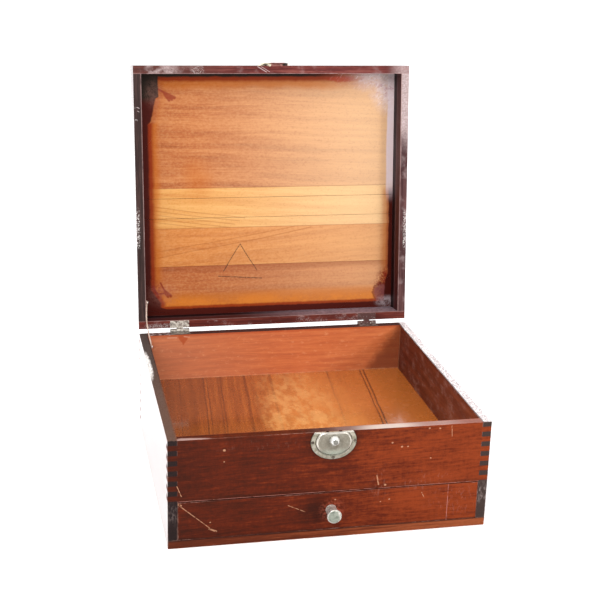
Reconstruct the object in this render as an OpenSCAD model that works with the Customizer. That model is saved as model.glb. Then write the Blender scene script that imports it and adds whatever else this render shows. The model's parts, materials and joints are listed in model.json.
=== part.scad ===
// Wooden case for flat sheets: a finger-jointed box with a hinged lid, a push-button catch,
// a shallow drawer under the sheet compartment and a short cord that stops the lid.
// Millimetres. The origin is the centre of the underside; +Y is the back and +Z is up.
// The lid is drawn open, which is its rest position.

/* [Case] */
// Width of the case, left to right
case_w = 320; // [290:1:360]
// Depth of the case, front to back
case_d = 300; // [270:1:340]
// Height of the case without the lid
case_h = 113.5; // [111:0.5:125]
// Thickness of the four walls
wall = 9.4; // [9:0.1:10.4]
// Thickness of the bottom board
bottom_t = 8.5; // [7:0.5:10]
// Depth of the sheet compartment below the rim
sheet_depth = 55; // [50:1:56]
// Thickness of the compartment floor
floor_t = 6; // [5:0.5:7]
// Height of the fixed front panel above the drawer
front_h = 64; // [64:0.5:66]
// Number of fingers in a full-height corner joint
fingers = 20; // [18:2:22]
// Depth of the grooves that hold the floor and the drawer bottom
groove = 3; // [2:0.5:4]

/* [Drawer] */
// Thickness of the drawer front
drawer_front_t = 10; // [9:0.5:12]
// Thickness of the drawer's sides and back
drawer_wall = 7; // [6:0.5:8]
// Height of the drawer sides
drawer_side_h = 35; // [30:1:36]
// Thickness of the drawer's bottom
drawer_bottom_t = 3.5; // [3:0.5:4]
// Gap between the drawer front and the walls beside it
drawer_gap = 0.4; // [0.3:0.1:0.8]
// Gap above the drawer front
drawer_top_gap = 1.2; // [0.8:0.1:2]

/* [Lid] */
// Thickness of the lid's four rails
lid_wall = 9; // [8.5:0.1:10]
// Height of the rails, which is the lid's inside depth
rail_h = 30; // [26:1:34]
// Number of fingers in a lid corner
lid_fingers = 6; // [4:2:8]
// Thickness of the boards that close the lid
lid_top_t = 7.5; // [6:0.5:9]
// Widths of the first three lid boards, from the front edge
lid_board_w = [141, 47, 45]; // [30:1:150]
// Angle of the open lid from closed
lid_open = 97.25; // [91:0.25:100]
// Gap between the closed lid and the rim
lid_gap = 0.2; // [0.2:0.1:0.6]

/* [Hinges] */
// Distance of each hinge's middle from the case's centre line
hinge_x = 112.5; // [90:0.5:120]
// Length of a hinge
hinge_len = 22; // [21:1:28]
// Thickness of a hinge leaf
leaf_t = 1; // [0.8:0.1:1.4]
// Distance of the hinge pin behind the back
pin_back = 3.5; // [3.3:0.1:4]
// Radius of a knuckle
knuckle_r = 2.6; // [2.4:0.1:2.8]
// Radius of the hinge pin
pin_r = 1.2; // [1:0.1:1.4]

/* [Catch] */
// Half of the catch oval's width
oval_a = 22.75; // [21:0.25:25]
// Half of the catch oval's full height
oval_b = 18.7; // [17.5:0.1:20]
// Depth of the oval's centre below the rim
oval_drop = 10.5; // [9.5:0.5:11.5]
// Width of the flat flange around the raised pan
flange_w = 4.2; // [3.8:0.1:5]
// Height of the raised pan above the wood
pan_h = 3.4; // [3.4:0.1:4]
// Radius of the push button
button_r = 4.9; // [4.2:0.05:5.1]
// Height of the button above the pan
button_out = 5.4; // [4:0.1:8]
// Depth of the button's centre below the rim
button_drop = 8.2; // [7.4:0.1:8.2]
// Travel of the button
button_travel = 2; // [1.6:0.1:2]

/* [Knob] */
// Radius of the knob's flat disc
knob_r = 7.3; // [5.8:0.1:8]
// How far the knob stands out of the drawer front
knob_out = 17; // [13:0.5:18]

/* [Stay cord] */
// Diameter of the cord
cord_d = 1.5; // [1.2:0.1:1.8]

/* [Hidden] */

$fn = 48;
eps = 0.02;              // overlap of a cutter with the face it cuts
fit = 0.04;              // radial room around a nail or screw

// Case
half_w = case_w / 2;
half_d = case_d / 2;
in_x = half_w - wall;
in_y = half_d - wall;
finger = (case_h - bottom_t) / fingers;
front_z = case_h - front_h;
front_fingers = 2 * floor(front_h / finger / 2);
floor_top = case_h - sheet_depth;
screw_side_y = [-0.4 * case_d, 0, 0.4 * case_d];
screw_back_x = [-0.25 * case_w, 0.25 * case_w];
bottom_screw_len = 30;

// Drawer
slide_gap = 0.3;         // room under the drawer and behind it
drawer_z = bottom_t + slide_gap;
drawer_half = in_x - drawer_gap;
drawer_face_top = front_z - drawer_top_gap;
drawer_back_y = in_y - slide_gap;
rebate = 4;              // wood left in front of a side's end
side_y0 = -half_d + rebate;
drawer_inner = drawer_half - drawer_wall;
drawer_floor_z = drawer_z + 4;
knob_z = (drawer_z + drawer_face_top) / 2 + 1.5;
drawer_inside_y = -half_d + drawer_front_t;

// Lid, in its closed position
pin_y = half_d + pin_back;
pin_z = case_h + lid_gap / 2;
lid_z = case_h + lid_gap;
lid_finger = rail_h / lid_fingers;
lid_in_x = half_w - lid_wall;
lid_in_y = half_d - lid_wall;
board_y = [
    -half_d,
    -half_d + lid_board_w[0],
    -half_d + lid_board_w[0] + lid_board_w[1],
    -half_d + lid_board_w[0] + lid_board_w[1] + lid_board_w[2],
    half_d
];

// Hinges
leaf_in = 8.4;           // width of a leaf on the wood
knuckle_gap = 0.2;
mid_knuckle = hinge_len / 3;
hinge_screw_x = 6.4;
hinge_screw_y = half_d - 4.4;

// Catch
sheet = 0.9;             // thickness of the pressed metal
pan_slope = 1.4;         // width of the pan's sloping edge
button_z = case_h - button_drop;
recess_x = 10.2;
recess_back = -half_d + 7;
recess_top = case_h - 2.8;
recess_low = case_h - 16;
leg_in = 5.4;            // inner edge of a hook leg
leg_out = 7.6;
hook_front = -half_d - 1.6;
hook_back = -half_d - 0.6;
barb_back = -half_d + 0.6;
barb_top = case_h - 8.1;
barb_h = 1.6;
lip_gap = 0.2;
latch_front = -half_d + 1.1;
latch_t = 1;
wing_in = 8.1;
wing_out = 9.4;
stem_r = 1.8;
tail_r = 1.5;
spring_wire = 0.25;
spring_r = 2.6;
spring_turns = 3;
spring_back = recess_back - 0.8;
tail_len = spring_back - latch_front - latch_t - button_travel - 0.8;
nail_r = 0.8;
nail_head_r = 1.5;
nail_head_h = 0.9;
strike_nail_x = 10;
strike_flange = 1;       // width of the narrow flange round the strike plate

// Stay cord: a pin on the left wall, a pin in the lid, and the cord's route between their loops
stay_pin_r = 0.8;
stay_case = [-in_x, 112, case_h - 3];
stay_lid = [-lid_in_x, 119.2, lid_z + 2.6];
cord_r = cord_d / 2;
cord_sides = 8;
cord_route = [
    [-149.7, 113.6, 112.2],
    [-149.8, 115.8, 114.6],
    [-150.3, 119.6, 117.4],
    [-151, 124.8, 120.8],
    [-151.6, 130.6, 124.8],
    [-151.9, 136.6, 129.2],
    [-151.9, 142.4, 133.8],
    [-151.4, 148, 138.2],
    [-150.8, 153.2, 142.2],
    [-150.1, 158.3, 146.1]
];

// ---------------------------------------------------------------- helpers

// A box given by its lowest and highest corners
module block(lo, hi) {
    translate(lo) cube(hi - lo);
}

// Moves a closed-lid shape to the open position
module as_opened() {
    translate([0, pin_y, pin_z])
        rotate([-lid_open, 0, 0])
            translate([0, -pin_y, -pin_z])
                children();
}

// Every second finger of a corner joint, as cutters: bands of height h from z0, going up or down
module bands(count, start, h, z0, dir, x0, x1, y0, y1) {
    for (i = [start:2:count - 1]) {
        low = dir > 0 ? z0 + i * h : z0 - (i + 1) * h;
        block([x0, y0, low], [x1, y1, low + h]);
    }
}

// A nail or screw along -Z with its head's top at the origin; grow widens it to a hole
module fastener(shank_r, head_r, head_h, len, grow = 0) {
    translate([0, 0, -head_h])
        cylinder(r1 = shank_r + grow, r2 = head_r + grow, h = head_h + (grow > 0 ? eps : 0));
    translate([0, 0, -len])
        cylinder(r = shank_r + grow, h = len - head_h + eps);
}

module slot_cut(head_r, w, deep) {
    translate([-head_r - 1, -w / 2, -deep]) cube([2 * head_r + 2, w, deep + 1]);
}

// ---------------------------------------------------------------- case

module floor_slab() {
    block([-in_x - groove, -in_y - groove, floor_top - floor_t],
          [in_x + groove, in_y + groove, floor_top]);
}

module at_bottom_screws() {
    for (side = [-1, 1], y = screw_side_y)
        translate([side * (half_w - wall / 2), y, 0.3]) rotate([180, 0, 0]) children();
    for (x = screw_back_x)
        translate([x, half_d - wall / 2, 0.3]) rotate([180, 0, 0]) children();
}

module bottom_screw(grow = 0) {
    fastener(1.75, 3.6, 2.4, bottom_screw_len, grow);
}

module bottom_board() {
    color("saddlebrown")
    difference() {
        block([-half_w, -half_d, 0], [half_w, half_d, bottom_t]);
        at_bottom_screws() bottom_screw(fit);
        at_bottom_screws() cylinder(r = 3.6 + fit, h = 1);
    }
}

module bottom_screws() {
    color("silver")
    at_bottom_screws()
        difference() {
            bottom_screw();
            slot_cut(3.6, 0.9, 0.8);
        }
}

// A side wall; side is -1 for the left one and 1 for the right one
module side_wall(side) {
    x0 = side < 0 ? -half_w : in_x;
    difference() {
        block([x0, -half_d, bottom_t], [x0 + wall, half_d, case_h]);
        bands(front_fingers, 1, finger, case_h, -1,
              x0 - 1, x0 + wall + 1, -half_d - 1, -in_y);
        bands(fingers, 1, finger, case_h, -1,
              x0 - 1, x0 + wall + 1, in_y, half_d + 1);
        floor_slab();
        at_bottom_screws() bottom_screw(fit);
        if (side < 0) at_stay_case_pin() fastener(stay_pin_r, stay_pin_r, 1, 9, fit);
    }
}

module left_side() {
    color("sienna") side_wall(-1);
}

module right_side() {
    color("sienna") side_wall(1);
}

module back_panel() {
    color("sienna")
    difference() {
        block([-half_w, in_y, bottom_t], [half_w, half_d, case_h]);
        for (x0 = [-half_w - 1, in_x])
            bands(fingers, 0, finger, case_h, -1, x0, x0 + wall + 1, in_y - 1, half_d + 1);
        floor_slab();
        at_bottom_screws() bottom_screw(fit);
        for (side = [-1, 1]) translate([side * hinge_x, 0, 0]) {
            block([-hinge_len / 2, half_d - leaf_in, case_h - leaf_t],
                  [hinge_len / 2, half_d + 1, case_h + 1]);
            at_leaf_screws() hinge_screw(fit);
        }
    }
}

module front_panel() {
    color("brown")
    difference() {
        block([-half_w, -half_d, front_z], [half_w, -in_y, case_h]);
        for (x0 = [-half_w - 1, in_x]) {
            bands(front_fingers, 0, finger, case_h, -1, x0, x0 + wall + 1, -half_d - 1, -in_y + 1);
            block([x0, -half_d - 1, front_z - 1],
                  [x0 + wall + 1, -in_y + 1, case_h - front_fingers * finger]);
        }
        floor_slab();
        block([-recess_x, -half_d - 1, recess_low], [recess_x, recess_back, recess_top]);
        at_hook_slots() block([-1.6, -half_d - 1, recess_top - 1],
                              [1.6, barb_back + 0.7, case_h + 1]);
        at_catch_nails() catch_nail(8, fit);
    }
}

module compartment_floor() {
    color("peru") floor_slab();
}

// ---------------------------------------------------------------- drawer

module drawer_bottom_slab(front_y) {
    block([-drawer_inner - groove, front_y, drawer_floor_z],
          [drawer_inner + groove, drawer_back_y, drawer_floor_z + drawer_bottom_t]);
}

module at_knob() {
    translate([0, -half_d, knob_z]) rotate([90, 0, 0]) children();
}

module drawer_front() {
    color("brown")
    difference() {
        block([-drawer_half, -half_d, drawer_z], [drawer_half, drawer_inside_y, drawer_face_top]);
        for (x0 = [-drawer_half - 1, drawer_inner])
            block([x0, side_y0, drawer_z - 1],
                  [x0 + drawer_wall + 1, drawer_inside_y + 1, drawer_z + drawer_side_h]);
        drawer_bottom_slab(drawer_inside_y - groove);
        at_knob() translate([0, 0, -drawer_front_t - 1]) cylinder(r = 1.55, h = drawer_front_t + 2);
        at_drawer_nails() drawer_nail(fit);
    }
}

module drawer_side(side) {
    x0 = side < 0 ? -drawer_half : drawer_inner;
    difference() {
        block([x0, side_y0, drawer_z], [x0 + drawer_wall, drawer_back_y, drawer_z + drawer_side_h]);
        drawer_bottom_slab(drawer_inside_y - groove);
        at_drawer_nails() drawer_nail(fit);
    }
}

module drawer_left_side() {
    color("burlywood") drawer_side(-1);
}

module drawer_right_side() {
    color("burlywood") drawer_side(1);
}

module drawer_back() {
    color("burlywood")
    difference() {
        block([-drawer_inner, drawer_back_y - drawer_wall, drawer_floor_z + drawer_bottom_t],
              [drawer_inner, drawer_back_y, drawer_z + drawer_side_h - 2]);
        at_drawer_nails() drawer_nail(fit);
    }
}

module drawer_bottom() {
    color("tan") drawer_bottom_slab(drawer_inside_y - groove);
}

// Two nails through each side into the front's end grain, and two into the back
module at_drawer_nails() {
    for (side = [-1, 1], z = [0.45, 0.8]) {
        for (y = [side_y0 + 3, drawer_back_y - drawer_wall / 2])
            translate([side * drawer_half, y, drawer_z + z * drawer_side_h])
                rotate([0, side * 90, 0]) children();
    }
}

module drawer_nail(grow = 0) {
    fastener(0.6, 1.2, 0.6, 18, grow);
}

module drawer_nails() {
    color("dimgray") at_drawer_nails() drawer_nail();
}

// Turned knob: a rear flange, a thick neck and a flat disc with a rounded edge
module drawer_knob() {
    disc_t = 3.6;
    edge_r = 1.3;
    waist_r = 4.6;
    flange_r = 5.4;
    color("silver")
    at_knob()
        difference() {
            rotate_extrude()
                polygon(concat(
                    [[0, 0], [flange_r, 0], [flange_r, 1.2], [flange_r - 0.5, 1.8]],
                    [for (a = [0:15:90])
                        [waist_r + (flange_r - 0.6 - waist_r) * (1 - sin(a)),
                         1.8 + (knob_out - disc_t - 4.4) * a / 90]],
                    [for (a = [15:15:90])
                        [waist_r + (knob_r - 1 - waist_r) * (1 - cos(a)),
                         knob_out - disc_t - 2.6 + 2.6 * sin(a)]],
                    [for (a = [-90:18:90])
                        [knob_r - edge_r + edge_r * cos(a),
                         knob_out - disc_t / 2 - 0.4 + (disc_t / 2 - 0.4) * sin(a)]],
                    [[knob_r * 0.55, knob_out - 0.25], [0, knob_out]]
                ));
            translate([0, 0, -1]) cylinder(r = 1.55, h = 9.5);
        }
}

module knob_screw() {
    color("silver")
    at_knob()
        difference() {
            union() {
                translate([0, 0, -drawer_front_t]) cylinder(r = 1.5, h = drawer_front_t + 7.5);
                translate([0, 0, -drawer_front_t - 1.8])
                    cylinder(r1 = 2.6, r2 = 3.2, h = 1.8);
            }
            translate([-4, -0.4, -drawer_front_t - 2.8]) cube([8, 0.8, 1.8]);
        }
}

// ---------------------------------------------------------------- lid

module lid_end_rail(front) {
    y0 = front ? -half_d : lid_in_y;
    difference() {
        block([-half_w, y0, lid_z], [half_w, y0 + lid_wall, lid_z + rail_h]);
        for (x0 = [-half_w - 1, lid_in_x])
            bands(lid_fingers, 1, lid_finger, lid_z, 1,
                  x0, x0 + lid_wall + 1, y0 - 1, y0 + lid_wall + 1);
        at_lid_nails() lid_nail(fit);
        if (front) at_strike_nails() catch_nail(10, fit);
        else for (side = [-1, 1]) translate([side * hinge_x, 0, 0]) {
            block([-hinge_len / 2, half_d - leaf_in, lid_z - 1],
                  [hinge_len / 2, half_d + 1, lid_z + leaf_t]);
            at_lid_leaf_screws() hinge_screw(fit);
        }
    }
}

module lid_side_rail(side) {
    x0 = side < 0 ? -half_w : lid_in_x;
    difference() {
        block([x0, -half_d, lid_z], [x0 + lid_wall, half_d, lid_z + rail_h]);
        for (y0 = [-half_d - 1, lid_in_y])
            bands(lid_fingers, 0, lid_finger, lid_z, 1,
                  x0 - 1, x0 + lid_wall + 1, y0, y0 + lid_wall + 1);
        at_lid_nails() lid_nail(fit);
        if (side < 0) at_stay_lid_pin() fastener(stay_pin_r, stay_pin_r, 1, 8, fit);
    }
}

module lid_front_rail() {
    color("brown") as_opened() lid_end_rail(true);
}

module lid_back_rail() {
    color("brown") as_opened() lid_end_rail(false);
}

module lid_left_rail() {
    color("brown") as_opened() lid_side_rail(-1);
}

module lid_right_rail() {
    color("brown") as_opened() lid_side_rail(1);
}

module lid_board(i) {
    difference() {
        block([-half_w, board_y[i], lid_z + rail_h],
              [half_w, board_y[i + 1], lid_z + rail_h + lid_top_t]);
        at_lid_nails() lid_nail(fit);
    }
}

module lid_board_front() {
    color("chocolate") as_opened() lid_board(0);
}

module lid_board_pale() {
    color("sandybrown") as_opened() lid_board(1);
}

module lid_board_middle() {
    color("peru") as_opened() lid_board(2);
}

module lid_board_hinge() {
    color("chocolate") as_opened() lid_board(3);
}

// Panel pins down through the boards: two in each end of each board, and two along each long edge
module at_lid_nails() {
    top = lid_z + rail_h + lid_top_t;
    for (side = [-1, 1], i = [0:3], k = [0.25, 0.75])
        translate([side * (half_w - lid_wall / 2),
                   board_y[i] + k * (board_y[i + 1] - board_y[i]), top])
            children();
    for (side = [-1, 1], x = screw_back_x)
        translate([x, side * (half_d - lid_wall / 2), top]) children();
}

module lid_nail(grow = 0) {
    fastener(0.6, 1.1, 0.6, 20, grow);
}

module lid_nails() {
    color("dimgray") as_opened() at_lid_nails() lid_nail();
}

// ---------------------------------------------------------------- catch

// An ellipse about the catch's centre, in the plane of the front face
module oval(a, b) {
    polygon([for (t = [0:5:355]) [a * cos(t), b * sin(t)]]);
}

// The pressed shape that stands out of a flat sheet: a sloping rim and a flat top
module pan(a, b, h) {
    linear_extrude(height = h, scale = (a - pan_slope) / a) oval(a, b);
}

module at_oval() {
    translate([0, -half_d, case_h - oval_drop]) rotate([90, 0, 0]) children();
}

// The hollow behind the pan, smaller by gap all round
module pan_hollow(flange, gap = 0) {
    in = flange + sheet + gap;
    translate([0, 0, -eps]) pan(oval_a - in, oval_b - in, pan_h - sheet - gap + eps);
}

// The whole pressed oval, lying on the front face; the rim line cuts it in two
module pressed_oval(flange) {
    at_oval()
        difference() {
            union() {
                linear_extrude(height = sheet) oval(oval_a, oval_b);
                pan(oval_a - flange, oval_b - flange, pan_h);
            }
            pan_hollow(flange);
        }
}

module catch_nail(len, grow = 0) {
    fastener(nail_r, nail_head_r, nail_head_h, len, grow);
}

module at_catch_nails() {
    nail_a = oval_a - flange_w / 2 + 0.2;
    for (x = [-nail_a, nail_a])
        translate([x, -half_d - sheet, case_h - oval_drop]) rotate([90, 0, 0]) children();
    translate([0, -half_d - sheet, case_h - oval_drop - oval_b + flange_w / 2])
        rotate([90, 0, 0]) children();
}

module at_strike_nails() {
    for (x = [-strike_nail_x, strike_nail_x])
        translate([x, -half_d - pan_h, lid_z + 1.9]) rotate([90, 0, 0]) children();
    translate([0, -half_d - pan_h, case_h - oval_drop + oval_b - 3.9])
        rotate([90, 0, 0]) children();
}

// Two slots for the hook's legs and their barbs
module at_hook_slots() {
    for (side = [-1, 1]) translate([side * (leg_in + leg_out) / 2, 0, 0]) children();
}

module catch_plate() {
    color("lightgray")
    difference() {
        union() {
            pressed_oval(flange_w);
            intersection() {
                at_oval() pan_hollow(flange_w);
                block([-oval_a, -half_d - pan_h, case_h - sheet], [oval_a, -half_d, case_h]);
            }
        }
        at_hook_slots() block([-1.4, hook_front - 0.2, case_h - 2], [1.4, -half_d + 1, case_h + 1]);
        block([-oval_a - 1, -half_d - 10, case_h], [oval_a + 1, -half_d + 1, case_h + oval_b]);
        at_catch_nails() catch_nail(8, fit);
        translate([0, -half_d + 1, button_z]) rotate([90, 0, 0])
            cylinder(r = button_r + 0.1, h = pan_h + 3);
    }
}

module catch_nails() {
    color("gray") at_catch_nails() catch_nail(8);
}

module strike_nails() {
    color("gray") as_opened() at_strike_nails() catch_nail(9.6);
}

module strike_plate() {
    color("lightgray")
    as_opened()
        difference() {
            pressed_oval(strike_flange);
            block([-oval_a - 1, -half_d - 10, case_h - 2 * oval_b],
                  [oval_a + 1, -half_d + 1, lid_z]);
            at_strike_nails() catch_nail(10, fit);
        }
}

// A forked hook: a foot that fills the strike plate's hollow and two legs with barbs that face
// the case
module strike_hook() {
    color("darkgray")
    as_opened() {
        intersection() {
            block([-leg_out, hook_front, lid_z + 0.4], [leg_out, -half_d, lid_z + 2.8]);
            at_oval() pan_hollow(strike_flange, fit);
        }
        for (x0 = [-leg_out, leg_in]) {
            block([x0, hook_front, barb_top - barb_h],
                  [x0 + leg_out - leg_in, hook_back, lid_z + 0.4]);
            translate([x0, 0, 0]) rotate([90, 0, 90])
                linear_extrude(height = leg_out - leg_in)
                    polygon([[hook_back, barb_top - barb_h], [barb_back, barb_top - 0.6],
                             [barb_back, barb_top], [hook_back, barb_top]]);
        }
    }
}

// Thin lining of the recess behind the catch plate
module catch_case() {
    color("gray")
    difference() {
        block([-recess_x, -half_d, recess_low], [recess_x, recess_back, recess_top]);
        block([-recess_x + 0.5, -half_d - 1, recess_low - 1],
              [recess_x - 0.5, spring_back, recess_top + 1]);
    }
}

// The button and its stem, turned from one rod; the domed end faces -Y
module catch_button() {
    dome_r = 4.4;
    dome_h = 4.8;
    face = pan_h + button_out;
    inner = 2.3;
    color("silver")
    translate([0, -half_d, button_z])
        rotate([90, 0, 0])
            rotate_extrude()
                polygon(concat(
                    [[0, -(latch_front + latch_t + tail_len + half_d)],
                     [tail_r, -(latch_front + latch_t + tail_len + half_d)],
                     [tail_r, -(latch_front + half_d)], [stem_r, -(latch_front + half_d)],
                     [stem_r, inner], [button_r, inner]],
                    [for (a = [0:15:90])
                        [button_r - dome_r + dome_r * cos(a), face - dome_h + dome_h * sin(a)]],
                    [[0, face]]
                ));
}

// The plate on the stem: two lips catch the hook's barbs and two wings stop against the pan
module latch_plate() {
    lip_z = barb_top + lip_gap;
    color("silver")
    difference() {
        union() {
            block([-wing_out, latch_front, case_h - 12.5],
                  [wing_out, latch_front + latch_t, case_h - 5]);
            for (side = [-1, 1]) {
                x0 = side < 0 ? -leg_out : leg_in;
                block([x0, -half_d - 0.4, lip_z],
                      [x0 + leg_out - leg_in, latch_front, lip_z + 1]);
                x1 = side < 0 ? -wing_out : wing_in;
                block([x1, -half_d - pan_h + sheet + 0.1, case_h - 9.5],
                      [x1 + wing_out - wing_in, latch_front, case_h - 6]);
            }
        }
        translate([0, latch_front + latch_t + 1, button_z]) rotate([90, 0, 0])
            cylinder(r = tail_r + fit, h = latch_t + 2);
    }
}

// Compression spring behind the latch plate, a swept wire
module catch_spring() {
    y0 = latch_front + latch_t + spring_wire;
    y1 = spring_back - spring_wire;
    steps = 16 * spring_turns;
    color("silver")
    tube([for (i = [0:steps])
            [spring_r * cos(360 * i / 16),
             y0 + (y1 - y0) * i / steps,
             button_z + spring_r * sin(360 * i / 16)]],
         spring_wire, 6);
}

// ---------------------------------------------------------------- hinges

module hinge_screw(grow = 0) {
    fastener(1.1, 2.1, leaf_t - 0.1, 8, grow);
}

module at_leaf_screws() {
    for (x = [-hinge_screw_x, hinge_screw_x])
        translate([x, hinge_screw_y, case_h - 0.05]) children();
}

module at_lid_leaf_screws() {
    for (x = [-hinge_screw_x, hinge_screw_x])
        translate([x, hinge_screw_y, lid_z + 0.05]) rotate([180, 0, 0]) children();
}

// A span of knuckle with the strap that joins it to its leaf
module knuckle(x0, x1, z0) {
    translate([x0, pin_y, pin_z]) rotate([0, 90, 0]) cylinder(r = knuckle_r, h = x1 - x0);
    block([x0, half_d, z0], [x1, pin_y, z0 + leaf_t]);
}

module pin_bore() {
    translate([-hinge_len / 2 - 1, pin_y, pin_z]) rotate([0, 90, 0])
        cylinder(r = pin_r + 0.05, h = hinge_len + 2);
}

module case_leaf(side) {
    far = hinge_len / 2;
    near = mid_knuckle / 2 + knuckle_gap;
    color("lightgray")
    translate([side * hinge_x, 0, 0])
        difference() {
            union() {
                block([-far, half_d - leaf_in, case_h - leaf_t], [far, half_d, case_h]);
                knuckle(-far, -near, case_h - leaf_t);
                knuckle(near, far, case_h - leaf_t);
            }
            pin_bore();
            at_leaf_screws() hinge_screw(fit);
        }
}

module lid_leaf(side) {
    far = hinge_len / 2;
    near = mid_knuckle / 2;
    color("gainsboro")
    as_opened()
        translate([side * hinge_x, 0, 0])
            difference() {
                union() {
                    block([-far, half_d - leaf_in, lid_z], [far, half_d, lid_z + leaf_t]);
                    knuckle(-near, near, lid_z);
                }
                pin_bore();
                at_lid_leaf_screws() hinge_screw(fit);
            }
}

module left_hinge_case_leaf() {
    case_leaf(-1);
}

module right_hinge_case_leaf() {
    case_leaf(1);
}

module left_hinge_lid_leaf() {
    lid_leaf(-1);
}

module right_hinge_lid_leaf() {
    lid_leaf(1);
}

module hinge_pin(side) {
    over = 0.3;
    color("darkgray")
    translate([side * hinge_x - hinge_len / 2 - over, pin_y, pin_z]) rotate([0, 90, 0])
        cylinder(r = pin_r, h = hinge_len + 2 * over);
}

module left_hinge_pin() {
    hinge_pin(-1);
}

module right_hinge_pin() {
    hinge_pin(1);
}

module slotted_hinge_screw() {
    difference() {
        hinge_screw();
        slot_cut(2.1, 0.6, 0.5);
    }
}

module hinge_case_screws() {
    color("gray")
    for (side = [-1, 1]) translate([side * hinge_x, 0, 0]) at_leaf_screws() slotted_hinge_screw();
}

module hinge_lid_screws() {
    color("gray")
    as_opened()
        for (side = [-1, 1]) translate([side * hinge_x, 0, 0])
            at_lid_leaf_screws() slotted_hinge_screw();
}

// ---------------------------------------------------------------- stay cord

// Pins point along +X out of the left wall and the left rail; their heads keep the loops on
module at_stay_case_pin() {
    translate(stay_case) rotate([0, 90, 0]) children();
}

module at_stay_lid_pin() {
    translate(stay_lid) rotate([0, 90, 0]) children();
}

module stay_pin() {
    translate([0, 0, -6]) cylinder(r = stay_pin_r, h = 8.2);
    translate([0, 0, 1.9]) cylinder(r = 1.7, h = 0.5);
}

module cord_loop() {
    translate([0, 0, 0.15 + cord_r]) rotate_extrude()
        translate([stay_pin_r + cord_r + 0.02, 0]) circle(r = cord_r, $fn = 16);
}

module stay_case_pin() {
    color("silver") at_stay_case_pin() stay_pin();
}

module stay_lid_pin() {
    color("silver") as_opened() at_stay_lid_pin() stay_pin();
}

module stay_case_loop() {
    color("ivory") at_stay_case_pin() cord_loop();
}

module stay_lid_loop() {
    color("ivory") as_opened() at_stay_lid_pin() cord_loop();
}

module stay_cord() {
    color("ivory") tube(cord_route, cord_r, cord_sides);
}

// ---------------------------------------------------------------- swept tube

function unit(v) = v / norm(v);
function tangent(p, i) = unit(p[min(i + 1, len(p) - 1)] - p[max(i - 1, 0)]);
function side_of(t) = unit(cross(t, abs(t[0]) < 0.8 ? [1, 0, 0] : [0, 0, 1]));
// Each ring's first direction is the one before it, turned as little as possible
function carry_all(p, i = 0, s = undef) = i >= len(p) ? [] : let (
        t = tangent(p, i),
        now = s == undef ? side_of(t) : unit(s - (s * t) * t)
    ) concat([now], carry_all(p, i + 1, now));

module tube(path, r, n) {
    sides = carry_all(path);
    rings = len(path);
    points = [for (i = [0:rings - 1], k = [0:n - 1])
        let (t = tangent(path, i), s = sides[i], b = cross(t, s))
            path[i] + r * (cos(360 * k / n) * s + sin(360 * k / n) * b)];
    skin = [for (i = [0:rings - 2], k = [0:n - 1])
        let (a = i * n + k, b = i * n + (k + 1) % n) [a, a + n, b + n, b]];
    caps = [[for (k = [0:n - 1]) k], [for (k = [n - 1:-1:0]) (rings - 1) * n + k]];
    polyhedron(points = points, faces = concat(skin, caps), convexity = 8);
}

// ---------------------------------------------------------------- nodes

bottom_board();
left_side();
right_side();
back_panel();
front_panel();
compartment_floor();
bottom_screws();
drawer_front();
drawer_left_side();
drawer_right_side();
drawer_back();
drawer_bottom();
drawer_nails();
drawer_knob();
knob_screw();
lid_front_rail();
lid_back_rail();
lid_left_rail();
lid_right_rail();
lid_board_front();
lid_board_pale();
lid_board_middle();
lid_board_hinge();
lid_nails();
catch_plate();
catch_case();
catch_nails();
catch_spring();
catch_button();
latch_plate();
strike_plate();
strike_hook();
strike_nails();
left_hinge_case_leaf();
left_hinge_lid_leaf();
left_hinge_pin();
right_hinge_case_leaf();
right_hinge_lid_leaf();
right_hinge_pin();
hinge_case_screws();
hinge_lid_screws();
stay_case_pin();
stay_lid_pin();
stay_cord();
stay_case_loop();
stay_lid_loop();
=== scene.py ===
"""Looks for the wooden case for flat sheets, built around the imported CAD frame."""
import json
import math

import bmesh
import bpy
import numpy as np
from mathutils import Matrix, Vector


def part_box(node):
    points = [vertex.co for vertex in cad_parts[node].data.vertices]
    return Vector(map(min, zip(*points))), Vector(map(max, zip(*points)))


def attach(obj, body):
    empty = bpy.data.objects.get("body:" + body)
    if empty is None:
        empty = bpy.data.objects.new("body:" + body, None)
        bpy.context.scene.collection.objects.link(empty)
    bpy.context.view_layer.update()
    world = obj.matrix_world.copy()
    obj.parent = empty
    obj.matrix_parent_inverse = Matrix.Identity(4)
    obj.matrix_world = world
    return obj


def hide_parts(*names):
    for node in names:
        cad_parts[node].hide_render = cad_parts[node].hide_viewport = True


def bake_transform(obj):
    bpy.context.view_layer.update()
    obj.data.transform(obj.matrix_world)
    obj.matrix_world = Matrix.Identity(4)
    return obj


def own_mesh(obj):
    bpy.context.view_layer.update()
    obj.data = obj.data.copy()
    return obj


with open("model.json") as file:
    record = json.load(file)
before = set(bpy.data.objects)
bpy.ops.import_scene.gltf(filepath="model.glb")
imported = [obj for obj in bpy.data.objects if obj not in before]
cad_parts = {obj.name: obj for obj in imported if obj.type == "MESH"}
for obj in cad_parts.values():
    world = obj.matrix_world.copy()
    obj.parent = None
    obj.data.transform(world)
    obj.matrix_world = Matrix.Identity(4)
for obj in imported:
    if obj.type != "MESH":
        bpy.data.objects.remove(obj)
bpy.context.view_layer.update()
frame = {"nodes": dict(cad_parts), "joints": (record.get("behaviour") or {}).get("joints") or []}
nodes = frame["nodes"]
scene = bpy.context.scene
scene.view_settings.view_transform = "Standard"

MM = 0.001

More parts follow.
